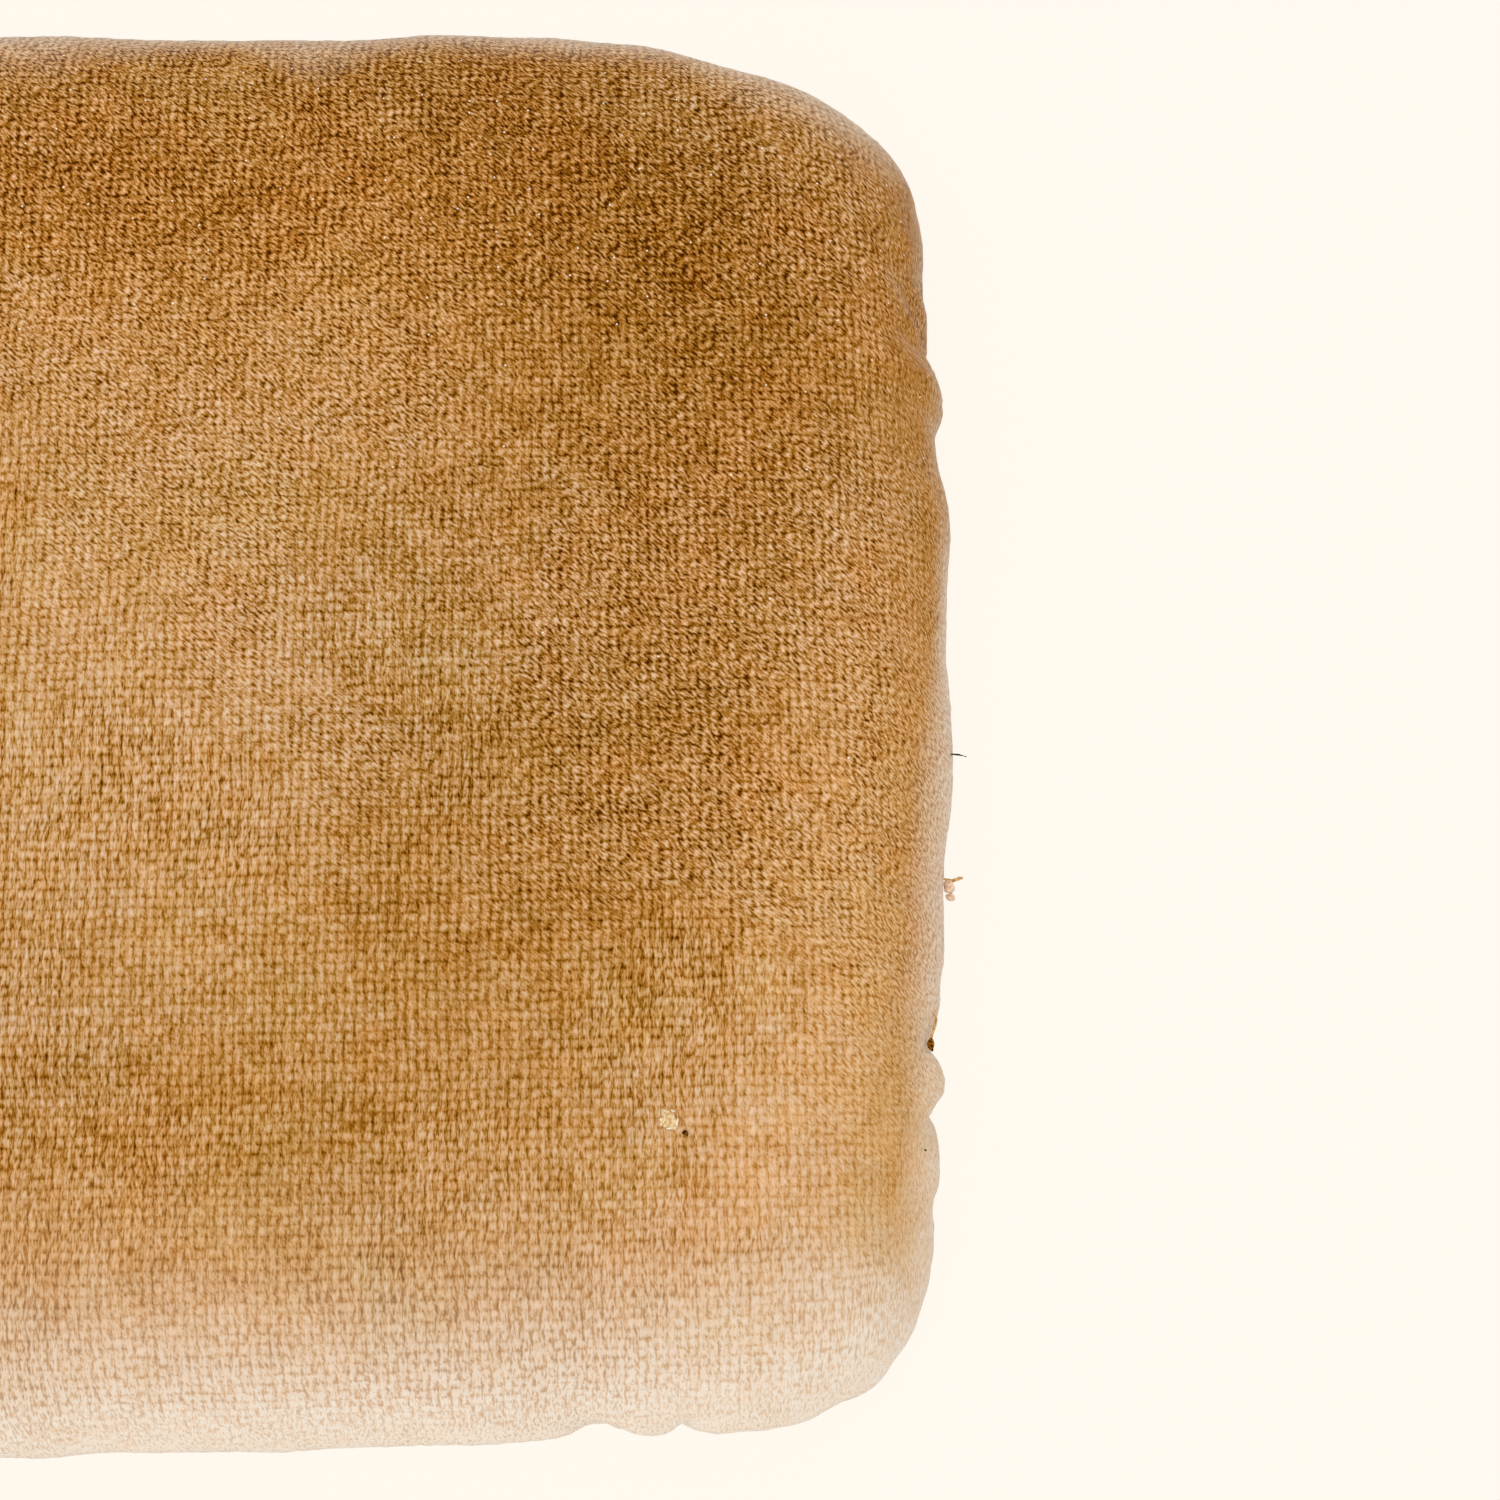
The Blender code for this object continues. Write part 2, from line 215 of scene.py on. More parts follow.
# Suns: name, azimuth from the front (-Y) towards +X, elevation and softness in degrees,
# strength, colour
SUNS = (
    ("window", -12, 24, 50, 0.7, (1.0, 0.98, 0.95)),
    ("rear", 165, 40, 50, 0.6, (1.0, 0.98, 0.95)),
    ("overhead", -60, 75, 60, 0.4, (1.0, 0.97, 0.92)),
)


def arc_step(heading, turn):
    """Where an arc of length 1 ends, from its first heading and how far it turns to the right."""
    across = math.sin(heading) - math.sin(heading - turn)
    along = math.cos(heading - turn) - math.cos(heading)
    return np.array([across, along]) / turn


def half_arcs():
    """(heading, turn, length) of the five arcs from the rear edge's middle to the front's."""
    rear_turn = math.pi / 2 - REAR_BOW - SIDE_BOW / 2
    front_turn = math.pi / 2 - FRONT_BOW - SIDE_BOW / 2
    turns = (REAR_BOW, rear_turn, SIDE_BOW, front_turn, FRONT_BOW)
    headings = [-sum(turns[:i]) for i in range(len(turns))]
    steps = [arc_step(h, t) for h, t in zip(headings, turns)]
    rear_corner = steps[1] * REAR_CORNER_RADIUS * rear_turn
    front_corner = steps[3] * FRONT_CORNER_RADIUS * front_turn
    half_side = arc_step(headings[2], turns[2] / 2) / 2
    unknowns = [
        [steps[0][0], half_side[0], 0.0],
        [steps[0][1], steps[2][1], steps[4][1]],
        [steps[0][0], steps[2][0], steps[4][0]],
    ]
    wanted = [
        WIDTH / 2 - rear_corner[0],
        -DEPTH - rear_corner[1] - front_corner[1],
        -rear_corner[0] - front_corner[0],
    ]
    rear, side, front = np.linalg.solve(unknowns, wanted)
    rear_arc, front_arc = REAR_CORNER_RADIUS * rear_turn, FRONT_CORNER_RADIUS * front_turn
    return list(zip(headings, turns, (rear, rear_arc, side, front_arc, front)))


ARCS = half_arcs()
HALF_LENGTH = sum(length for _, _, length in ARCS)


def on_half(distance):
    """(point, outward normal) at a distance along the right half, from the rear edge's middle."""
    start = np.array([0.0, DEPTH / 2])
    for arc, (heading, turn, length) in enumerate(ARCS):
        if distance <= length or arc == len(ARCS) - 1:
            share = max(distance / length, 1e-9)
            angle = heading - turn * share
            point = start + arc_step(heading, turn * share) * length * share
            return point, (-math.sin(angle), math.cos(angle))
        start = start + arc_step(heading, turn) * length
        distance -= length


def places_round(count):
    """Distances round from the rear middle, clockwise, closer together at the deep pleats."""
    fine = np.linspace(0.0, 2 * HALF_LENGTH, 20 * count, endpoint=False)
    density = np.ones(len(fine))
    for centre, depth, *_ in PLEATS:
        if depth > DEEP_PLEAT:
            density += PLEAT_DENSITY * np.exp(-((apart(fine, centre) / PLEAT_SPREAD) ** 2))
    steps = np.cumsum(density) - density[0]
    return np.interp(np.arange(count) * (steps[-1] + 1) / count, steps, fine)


def full_outline(distances):
    """Points and outward normals of the outline at these distances round."""
    points, normals = [], []
    for distance in distances:
        mirrored = distance > HALF_LENGTH
        point, normal = on_half(2 * HALF_LENGTH - distance if mirrored else distance)
        side = -1.0 if mirrored else 1.0
        points.append((point[0] * side, point[1]))
        normals.append((normal[0] * side, normal[1]))
    return np.array(points), np.array(normals)


def smooth(low, high, values):
    """0 below low, 1 above high and a smooth step between."""
    t = np.clip((values - low) / (high - low), 0.0, 1.0)
    return t * t * (3 - 2 * t)


def apart(distances, centre):
    """How far these places round the edge are from another, the short way round."""
    return (distances - centre + HALF_LENGTH) % (2 * HALF_LENGTH) - HALF_LENGTH


def cover_profile():
    """Rows of (inset, height, normal outward, normal up) from the flat top to the flange's end."""
    rows = []
    power = 2.0 / ROLL_EXPONENT
    for i in range(ROLL_RINGS):
        angle = math.pi / 2 * i / ROLL_RINGS
        inset = ROLL_WIDTH * (1.0 - math.sin(angle) ** power)
        height = TOP - ROLL_DROP * (1.0 - math.cos(angle) ** power)
        rows.append((inset, height, math.sin(angle), math.cos(angle)))
    side_top = TOP - ROLL_DROP
    side_bottom = FLANGE_BOTTOM + TURN_RADIUS
    for i in range(SIDE_RINGS):
        height = side_top + (side_bottom - side_top) * i / SIDE_RINGS
        rows.append((0.0, height, 1.0, 0.0))
    for i in range(TURN_RINGS):
        angle = math.pi / 2 * i / TURN_RINGS
        inset = TURN_RADIUS * (1.0 - math.cos(angle))
        height = side_bottom - TURN_RADIUS * math.sin(angle)
        rows.append((inset, height, math.cos(angle), -math.sin(angle)))
    for i in range(FLANGE_RINGS + 1):
        inset = TURN_RADIUS + (FLANGE_WIDTH - TURN_RADIUS) * i / FLANGE_RINGS
        rows.append((inset, FLANGE_BOTTOM, 0.0, -1.0))
    return np.array(rows)


PROFILE = cover_profile()
STEPS = np.hypot(np.diff(PROFILE[:, 0]), np.diff(PROFILE[:, 1]))
DOWN = np.concatenate([[0.0], np.cumsum(STEPS)])  # distance down the profile from the flat top
SIDE_DOWN = DOWN[ROLL_RINGS]
EDGE_DOWN = DOWN[ROLL_RINGS + SIDE_RINGS]
END_DOWN = DOWN[-1]

# Soft swells (+) and hollows (-) of the edge: distance round from the rear middle,
# height in or out, half width. Clockwise, so the right side comes first.
SWELLS = [
    (0.003, 0.0004, 0.024),
    (0.018, -0.0007, 0.012),
    (0.050, -0.0008, 0.030),
    (0.084, 0.0034, 0.034),
    (0.107, 0.0014, 0.012),
    (0.122, 0.0014, 0.016),
    (0.138, 0.0009, 0.008),
    (0.166, -0.0052, 0.020),
    (0.173, -0.0010, 0.014),
    (0.190, -0.0014, 0.012),
    (0.226, 0.0020, 0.013),
    (0.237, 0.0007, 0.004),
    (0.266, -0.0016, 0.006),
    (0.276, -0.0040, 0.026),
    (0.2895, -0.0014, 0.004),
    (0.2995, 0.0008, 0.004),
    (0.303, 0.0012, 0.006),
    (0.312, -0.0008, 0.004),
    (0.3205, 0.0007, 0.004),
    (0.321, -0.0016, 0.012),
    (0.342, 0.0014, 0.012),
    (0.384, -0.0007, 0.007),
    (0.415, 0.0012, 0.020),
    (0.452, -0.0012, 0.018),
    (0.477, -0.0007, 0.004),
    (0.484, -0.0016, 0.010),
    (0.500, -0.0012, 0.020),
    (0.5155, 0.0008, 0.003),
    (0.526, -0.0007, 0.004),
    (0.544, -0.0008, 0.022),
    (0.5615, 0.0008, 0.004),
    (0.581, 0.0008, 0.006),
    (0.588, 0.0024, 0.024),
    (0.596, 0.0006, 0.014),
    (0.622, 0.0012, 0.014),
    (0.649, -0.0008, 0.004),
    (0.655, 0.0012, 0.006),
    (0.6625, 0.0008, 0.003),
    (0.666, -0.0022, 0.018),
    (0.6705, -0.0008, 0.004),
    (0.740, -0.0010, 0.030),
    (0.755, 0.0009, 0.012),
    (0.816, 0.0010, 0.010),
    (0.840, 0.0026, 0.024),
    (0.905, -0.0012, 0.035),
    (0.985, 0.0020, 0.022),
    (1.075, -0.0016, 0.026),
    (1.150, 0.0012, 0.030),
    (1.245, -0.0014, 0.022),
    (1.330, 0.0022, 0.024),
    (1.400, -0.0022, 0.026),
    (1.490, 0.0018, 0.034),
]

# Pleats where the cover is pulled under and stapled: distance round, depth, half width,
# how far up the side the pleat reaches (from the lower edge), slant along the edge, and which
# side is steep (+ further round, - nearer).
PLEATS = [
    (0.1810, 0.0010, 0.0035, 0.024, 0.10, 0.0),
    (0.2070, 0.0010, 0.0035, 0.026, 0.05, 0.0),
    (0.2380, 0.0010, 0.0032, 0.022, -0.06, 0.0),
    (0.2962, 0.0036, 0.0044, 0.046, -0.60, 0.7),
    (0.3180, 0.0012, 0.0050, 0.030, 0.16, 0.0),
    (0.3720, 0.0006, 0.0080, 0.020, 0.0, 0.0),
    (0.4400, 0.0006, 0.0080, 0.020, 0.0, 0.0),
    (0.4935, 0.0030, 0.0050, 0.036, 0.10, 0.3),
    (0.5115, 0.0038, 0.0045, 0.034, 0.25, -0.4),
    (0.5400, 0.0008, 0.0040, 0.024, 0.0, 0.0),
    (0.5610, 0.0006, 0.0040, 0.022, 0.06, 0.0),
    (0.5815, 0.0012, 0.0040, 0.022, 0.0, 0.0),
    (0.6020, 0.0012, 0.0045, 0.022, -0.06, 0.0),
    (0.6475, 0.0028, 0.0034, 0.030, -0.30, 0.6),
    (0.6640, 0.0024, 0.0060, 0.030, 0.06, 0.0),
    (0.7120, 0.0005, 0.0080, 0.020, 0.0, 0.0),
    (0.7620, 0.0005, 0.0080, 0.018, 0.0, 0.0),
]


def left_pleats():
    """The same kinds of pleats on the left, a little shallower and not quite opposite."""
    pleats = []
    for i, (centre, depth, width, reach, slant, steep) in enumerate(PLEATS):
        place = 2 * HALF_LENGTH - centre + 0.009 * math.sin(2.3 * i)
        pleats.append((place, 0.75 * depth, width, reach, -slant, -steep))
    return pleats


PLEATS += left_pleats()
ROUND = places_round(OUTLINE_POINTS)
OUTLINE, NORMALS = full_outline(ROUND)
ROLL_SHARE = 1.0 - ROLL_FRONT_SHARE * NORMALS[:, 1]
FLAT_OUTLINE = OUTLINE - NORMALS * (ROLL_WIDTH * ROLL_SHARE)[:, None]  # where the roll begins


def groove_shape(across, width, steep):
    """A rounded groove of depth 1 with one wall steeper, and a low swell beside that wall."""
    wall = width * (1 - 0.6 * steep * np.sign(across))
    swell = 0.30 * np.exp(-(((np.abs(across) - 2.2 * wall) / (1.4 * wall)) ** 2))
    return swell - np.exp(-((across / wall) ** 2))


def edge_offsets(down):
    """How far each ring point stands out along its normal, for the swells and pleats."""
    total = np.zeros((len(down), len(ROUND)))
    swelling = smooth(0.25 * SIDE_DOWN, 0.95 * SIDE_DOWN, down)
    swelling = swelling * (1 - smooth(EDGE_DOWN, END_DOWN, down))
    for centre, height, width in SWELLS:
        total += height * swelling[:, None] * np.exp(-((apart(ROUND, centre) / width) ** 2))
    for centre, depth, width, reach, slant, steep in PLEATS:
        above = smooth(EDGE_DOWN - reach, EDGE_DOWN - 0.3 * reach, down)
        under = 1 - 0.75 * smooth(EDGE_DOWN, EDGE_DOWN + 0.012, down)
        across = apart(ROUND, centre)[None] - slant * (EDGE_DOWN - down)[:, None]
        total += depth * (above * under)[:, None] * groove_shape(across, width, steep)
    share = np.clip(down / SIDE_DOWN, 0.0, 1.0)
    full = REAR_FULLNESS * (np.sin(np.pi * share ** 0.8) ** 1.5 - 0.7 * share ** 3)
    total += full[:, None] * smooth(0.3, 0.9, NORMALS[:, 1])[None]
    heights, up = PROFILE[:, 1], PROFILE[:, 3]
    above_board = smooth(CLEARANCE_LOW, CLEARANCE_HIGH, heights)
    deepest = BOARD_CLEARANCE + (FOAM_CLEARANCE - BOARD_CLEARANCE) * above_board
    lowest = np.where(up < 0, (heights - LOWEST) / np.maximum(-up, 1e-6), np.inf)
    return np.clip(total, -deepest[:, None], lowest[:, None])


def pile_ends(down):
    """Slight random unevenness of the pile, which roughens the outline of the sides."""
    random = np.random.default_rng(21)
    uneven = random.normal(0.0, PILE_UNEVENNESS, (len(down), len(ROUND)))
    return uneven * smooth(0.3 * SIDE_DOWN, 0.8 * SIDE_DOWN, down)[:, None]


def undulation(points):
    """Gentle unevenness of a stuffed surface, from a few crossing waves."""
    x, y = points[..., 0], points[..., 1]
    # Height, length, direction and phase
    waves = (
        (0.0007, 0.105, 0.4, 0.0),
        (0.0006, 0.083, 1.9, 1.3),
        (0.0004, 0.052, 2.8, 2.1),
        (0.0003, 0.037, 0.9, 4.0),
    )
    total = np.zeros(x.shape)
    for height, length, direction, phase in waves:
        across = x * math.cos(direction) + y * math.sin(direction)
        total += height * np.sin(2 * math.pi * across / length + phase)
    return total


def flat_shares(count):
    """How far out the rings of the flat top lie, as shares of the way to the roll."""
    return [((i + 0.12) / count) ** 0.8 for i in range(count)]


def layer_rings(profile, flat_rings, depth, offset):
    """Rings of a surface this deep under the cover's outer face, from its middle outwards.

    The profile has rows like cover_profile's, and offset holds how far each point is moved
    along its row's normal.
    """
    level = np.full(len(OUTLINE), TOP - depth)
    rings = [np.column_stack([FLAT_OUTLINE * share, level]) for share in flat_shares(flat_rings)]
    for (inset, height, out, up), moved in zip(profile, offset):
        sunk = moved - depth
        ring = OUTLINE - NORMALS * (inset * ROLL_SHARE)[:, None]
        ring = ring + NORMALS * (sunk * out)[:, None]
        rings.append(np.column_stack([ring, height + sunk * up]))
    rings = np.array(rings)
    weight = np.ones(len(rings))
    weight[flat_rings:] = 1 - smooth(0.6 * SIDE_DOWN, SIDE_DOWN, DOWN[: len(profile)])
    rings[..., 2] += weight[:, None] * (undulation(rings) + crown(rings))
    return rings


def cloth_coordinates():
    """Where each point of the cover lies on the flat cloth before it was wrapped round."""
    flat = [FLAT_OUTLINE * share for share in flat_shares(FLAT_RINGS)]
    return np.array(flat + [FLAT_OUTLINE + NORMALS * down for down in DOWN])


def crown(points):
    """How far the middle of the stuffed surface rises."""
    reach = (points[..., 0] / (WIDTH / 2)) ** 2 + (points[..., 1] / (DEPTH / 2)) ** 2
    return CROWN * np.clip(1 - reach, -0.2, 1.0)


EDGE_OFFSETS = edge_offsets(DOWN)


def ring_mesh(name, rings):
    """A mesh through rings of points, with a point in the middle of the first ring."""
    count = rings.shape[1]
    vertices = rings.reshape(-1, 3).tolist()
    faces = []
    for r in range(len(rings) - 1):
        for i in range(count):
            j = (i + 1) % count
            a, b = r * count + i, r * count + j
            faces.append((a, b, b + count, a + count))
    centre = len(vertices)
    vertices.append(rings[0].mean(axis=0).tolist())
    faces += [(centre, (i + 1) % count, i) for i in range(count)]
    mesh = bpy.data.meshes.new(name)
    mesh.from_pydata(vertices, [], faces)
    mesh.validate()
    return mesh


def add_piece(name, mesh, material, replaced=()):
    """Adds a piece that rides on the pad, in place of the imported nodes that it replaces."""
    obj = bpy.data.objects.new(name, mesh)
    bpy.context.scene.collection.objects.link(obj)
    mesh.materials.append(material)
    mesh.shade_smooth()
    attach(obj, "root")
    if replaced:
        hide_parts(*replaced)
    return obj


# Lighter (+) and darker (-) patches of the pile's colour: X, Y, half widths, strength
NAP_PATCHES = [
    (-0.030, -0.010, 0.095, 0.090, 0.100),
    (-0.150, -0.060, 0.070, 0.060, 0.050),
    (-0.130, 0.110, 0.060, 0.045, -0.050),
    (0.145, 0.050, 0.045, 0.075, -0.090),
    (0.115, -0.034, 0.050, 0.042, -0.072),
    (0.142, 0.128, 0.044, 0.040, -0.105),
    (0.000, 0.115, 0.050, 0.045, -0.022),
    (0.190, 0.155, 0.025, 0.030, 0.040),
    (0.168, 0.185, 0.020, 0.020, 0.050),
    (0.190, 0.070, 0.030, 0.060, -0.050),
    (0.200, -0.150, 0.045, 0.060, 0.060),
    (0.160, -0.180, 0.050, 0.030, 0.035),
    (0.050, -0.160, 0.060, 0.025, -0.015),
    (-0.035, -0.136, 0.035, 0.026, -0.040),
    (0.150, -0.125, 0.050, 0.030, 0.045),
    (0.090, 0.180, 0.050, 0.030, -0.080),
    (-0.030, 0.150, 0.030, 0.025, -0.020),
    (-0.025, 0.145, 0.030, 0.020, -0.045),
    (0.200, -0.050, 0.034, 0.110, 0.090),
    (0.200, -0.115, 0.040, 0.040, 0.050),
    (0.045, -0.128, 0.040, 0.022, -0.050),
    (0.075, -0.075, 0.045, 0.025, -0.020),
    (-0.190, 0.020, 0.030, 0.080, -0.030),
    (0.100, -0.010, 0.040, 0.060, 0.018),
    (0.036, 0.140, 0.025, 0.015, -0.035),
    (0.150, 0.140, 0.020, 0.015, -0.040),
]

# Where the dye looks warmer (+) or greyer (-), given in the same way
WARM_PATCHES = [
    (0.020, 0.125, 0.110, 0.045, 1.00),
    (0.205, -0.020, 0.030, 0.045, 0.90),
    (0.070, 0.010, 0.050, 0.045, -0.60),
    (0.160, 0.180, 0.050, 0.030, -0.60),
    (0.000, -0.150, 0.070, 0.035, 0.70),
    (0.010, -0.100, 0.060, 0.020, -0.40),
    (0.130, -0.060, 0.050, 0.030, 0.30),
    (0.210, -0.105, 0.035, 0.055, 0.80),
    (0.100, -0.010, 0.040, 0.060, -0.50),
    (0.070, 0.140, 0.050, 0.020, 0.35),
    (-0.020, -0.108, 0.040, 0.020, -0.55),
    (0.060, -0.137, 0.030, 0.020, -0.50),
]

# Where the band of wear and painted sheen along the rear edge is wider and softer: X and half
# width
REAR_WORN_AND_SHEEN_SPOTS = ((-0.046, 0.035), (0.042, 0.016), (0.180, 0.026))


def patchwork(x, y, patches):
    """The sum of soft oval patches at these places."""
    total = np.zeros(x.shape)
    for at_x, at_y, wide, tall, strength in patches:
        total += strength * np.exp(-(((x - at_x) / wide) ** 2 + ((y - at_y) / tall) ** 2))
    return total


def rear_wear_and_sheen(inset):
    """Wear and painted sheen along the rear edge, wider and softer at a few spots."""
    spots = sum(np.exp(-(((OUTLINE[:, 0] - at) / wide) ** 2)) for at, wide in REAR_WORN_AND_SHEEN_SPOTS)
    share = inset / (0.024 + 0.014 * spots)[None]
    return (0.66 - 0.12 * spots)[None] * np.clip(1 - share, 0.0, 1.0) ** 1.2


def front_wear_and_sheen(inset):
    """Wear and painted sheen of the front edge, which fades in over the whole roll."""
    front = 0.88 * np.clip(1 - inset / ROLL_WIDTH, 0.0, 1.0) ** 1.55
    return front * (1 - 0.07 * smooth(0.05, -0.02, OUTLINE[:, 0]))[None]


def side_wear_and_sheen(inset):
    """A narrow band of wear and painted sheen along the sides, wider and paler in their front
    half.
    """
    band = 0.0060 + 0.0090 * smooth(0.03, -0.03, OUTLINE[:, 1])
    strength = 0.52 - 0.42 * smooth(0.02, 0.07, OUTLINE[:, 1])
    return strength[None] * smooth(band[None], 0.0, inset)


def nap_field(positions):
    """Paleness, wear with painted sheen, lean and contrast of the pile, as red, green, blue and
    alpha.
    """
    x, y = positions[..., 0], positions[..., 1]
    inset = np.concatenate([np.full(FLAT_RINGS, ROLL_WIDTH), PROFILE[:, 0]])[:, None]
    inset[FLAT_RINGS + ROLL_RINGS :] = 0.0
    towards_front = smooth(-0.05, 0.75, -NORMALS[:, 1])[None]
    towards_rear = smooth(0.30, 0.80, NORMALS[:, 1])[None]
    # Wear and painted sheen: a pale band where the pile turns away at the front, rear and sides
    worn_and_sheen = np.maximum(front_wear_and_sheen(inset) * towards_front, rear_wear_and_sheen(inset) * towards_rear)
    worn_and_sheen = np.maximum(worn_and_sheen, side_wear_and_sheen(inset))
    # Darker towards the rear, paler with the wear and painted sheen of the edges, and paler
    # towards the front, which is painted light from the front
    pale = 0.432 + patchwork(x, y, NAP_PATCHES) - 0.060 * smooth(0.080, 0.150, y)
    pale += 0.20 * worn_and_sheen + 0.07 * smooth(0.110, 0.160, -y)
    worn_and_sheen = worn_and_sheen + 0.05 * smooth(0.130, 0.155, -y)
    contrast = 1.0 - 0.18 * smooth(0.02, 0.12, -y) - 0.22 * smooth(0.125, 0.175, -y)
    fade = smooth(0.026 - 0.011 * towards_front, 0.005 - 0.002 * towards_front, inset)
    contrast = contrast * (1 - 0.80 * fade * (1 - 0.5 * towards_rear))
    contrast = contrast * (1 - 0.25 * smooth(0.185, 0.210, x) * smooth(-0.03, -0.08, y))
    lean = smooth(-0.10, 0.06, y + 0.5 * (x - 0.05)) + smooth(0.09, 0.16, y)
    return np.stack([pale, np.minimum(worn_and_sheen, 1.0), lean, contrast], axis=-1)


def set_nap(mesh, positions):
    """Writes the nap and the warmth of the dye as the attributes that the velvet reads."""
    values = nap_field(positions)
    values = np.vstack([values.reshape(-1, 4), values[0].mean(axis=0)[None]])
    layer = mesh.color_attributes.new(name="nap", type="FLOAT_COLOR", domain="POINT")
    layer.data.foreach_set("color", values.astype(np.float32).ravel())
    warmth = patchwork(positions[..., 0], positions[..., 1], WARM_PATCHES)
    warmth = np.append(warmth.ravel(), warmth[0].mean())
    layer = mesh.attributes.new(name="warmth", type="FLOAT", domain="POINT")
    layer.data.foreach_set("value", warmth.astype(np.float32))


def set_cloth_uv(mesh, cloth):
    """Writes the flat cloth's coordinates, in metres, as the UV map that the weave reads."""
    cosine, sine = math.cos(WEAVE_TURN), math.sin(WEAVE_TURN)
    turn = np.array([[cosine, sine], [-sine, cosine]])
    flat = np.vstack([cloth.reshape(-1, 2), cloth[0].mean(axis=0)[None]]) @ turn
    layer = mesh.uv_layers.new(name="cloth")
    corners = np.empty(len(mesh.loops), np.int32)
    mesh.loops.foreach_get("vertex_index", corners)
    layer.data.foreach_set("uv", flat[corners].astype(np.float32).ravel())


class Nodes:
    """Short calls for a material's node tree."""

    def __init__(self, name):
        self.material = bpy.data.materials.new(name)
        self.material.use_nodes = True
        self.tree = self.material.node_tree
        self.shader = self.tree.nodes["Principled BSDF"]

    def add(self, kind, inputs=None, **settings):
        node = self.tree.nodes.new(kind)
        for key, value in settings.items():
            setattr(node, key, value)
        for key, value in (inputs or {}).items():
            self.feed(node.inputs[key], value)
        return node

    def place(self):
        """The point's place on the object, in metres."""
        return self.add("ShaderNodeTexCoord").outputs["Object"]

    def set(self, **values):
        """Sets the shader's own sockets. Each name has _ for a space."""
        for name, value in values.items():
            self.feed(self.shader.inputs[name.replace("_", " ")], value)

    def split(self, colour):
        return self.add("ShaderNodeSeparateColor", {0: colour}).outputs

    def feed(self, socket, value):
        if isinstance(value, bpy.types.NodeSocket):
            self.tree.links.new(value, socket)
        else:
            socket.default_value = value

    def math(self, operation, *values, clamp=False):
        inputs = dict(enumerate(values))
        return self.add("ShaderNodeMath", inputs, operation=operation, use_clamp=clamp).outputs[0]

    def vector(self, operation, *values):
        inputs = dict(enumerate(values))
        return self.add("ShaderNodeVectorMath", inputs, operation=operation).outputs[0]

    def noise(self, vector, scale, detail=2.0, roughness=0.5, dimensions="3D"):
        inputs = {"Vector": vector, "Scale": scale, "Detail": detail, "Roughness": roughness}
        return self.add("ShaderNodeTexNoise", inputs, noise_dimensions=dimensions)

    def range(self, value, low, high, new_low=0.0, new_high=1.0, smooth_steps=True):
        kind = "SMOOTHSTEP" if smooth_steps else "LINEAR"
        inputs = {0: value, 1: low, 2: high, 3: new_low, 4: new_high}
        return self.add("ShaderNodeMapRange", inputs, interpolation_type=kind).outputs[0]

    def mix_value(self, factor, first, second):
        inputs = {0: factor, 2: first, 3: second}
        return self.add("ShaderNodeMix", inputs, data_type="FLOAT").outputs[0]

    def mix(self, factor, first, second, blend="MIX"):
        inputs = {0: factor, 6: first, 7: second}
        return self.add("ShaderNodeMix", inputs, data_type="RGBA", blend_type=blend).outputs[2]

    def ramp(self, value, stops):
        node = self.add("ShaderNodeValToRGB", {"Fac": value})
        elements = node.color_ramp.elements
        while len(elements) < len(stops):
            elements.new(0.5)
        for element, (position, colour) in zip(elements, stops):
            element.position = position
            element.color = (*colour, 1.0)
        return node.outputs[0]

    def bump(self, height, distance, strength):
        inputs = {"Height": height, "Distance": distance, "Strength": strength}
        return self.add("ShaderNodeBump", inputs).outputs[0]


def painted_glints(n, cloth, lean):
    """Painted glints: small white dots in the colour where fibre ends catch the light, mostly in
    the slanted pile at the rear.
    """
    inputs = {"Vector": cloth, "Scale": 95.0}
    specks = n.add("ShaderNodeTexVoronoi", inputs, voronoi_dimensions="2D")
    picked = n.split(specks.outputs["Color"])[0]
    size = n.range(specks.outputs["Distance"], 0.030, 0.018)
    shown = n.math("GREATER_THAN", n.math("MULTIPLY", picked, lean), 0.92)
    return n.math("MULTIPLY", size, shown)


def wandering_threads(n, cloth, lean):
    """The flat cloth's coordinates with rows that stray a little, more where the pile leans."""
    wander = n.noise(cloth, 40.0, dimensions="2D").outputs["Color"]
    wander = n.vector("SUBTRACT", wander, (0.5, 0.5, 0.5))
    wander = n.vector("MULTIPLY", wander, (ROW_WANDER, ROW_WANDER, 0.0))
    inputs = {0: wander, 3: n.math("MAXIMUM", lean, 1.0)}
    wander = n.add("ShaderNodeVectorMath", inputs, operation="SCALE").outputs[0]
    return n.vector("ADD", cloth, wander)


def tuft_grid(n, threads):
    """Coordinates of one unit a tuft, each tuft a bit longer than wide, and the angles in it."""
    tufts = n.vector("MULTIPLY", threads, (1 / TUFT_ACROSS, 1 / TUFT_ALONG, 1.0))
    centred = n.vector("SUBTRACT", tufts, (TUFT_RANDOMNESS / 2, TUFT_RANDOMNESS / 2, 0.0))
    angles = n.vector("MULTIPLY", centred, (2 * math.pi, 2 * math.pi, 0.0))
    angles = n.add("ShaderNodeSeparateXYZ", {0: angles}).outputs
    longer = n.add("ShaderNodeCombineXYZ", {1: n.math("SINE", angles[1])}).outputs[0]
    return n.vector("MULTIPLY_ADD", longer, (0.0, -TUFT_STRETCH, 0.0), tufts), angles


def tuft_relief(n, tufts):
    """How high the tufts stand, from their middles to the gaps, and a random shade for each."""
    inputs = {"Vector": tufts, "Scale": 1.0, "Randomness": TUFT_RANDOMNESS}
    cells = n.add("ShaderNodeTexVoronoi", inputs, voronoi_dimensions="2D").outputs
    relief = n.range(cells["Distance"], 0.02, 0.62, 0.56, -0.44, smooth_steps=False)
    return relief, n.math("SUBTRACT", n.split(cells["Color"])[0], 0.5)


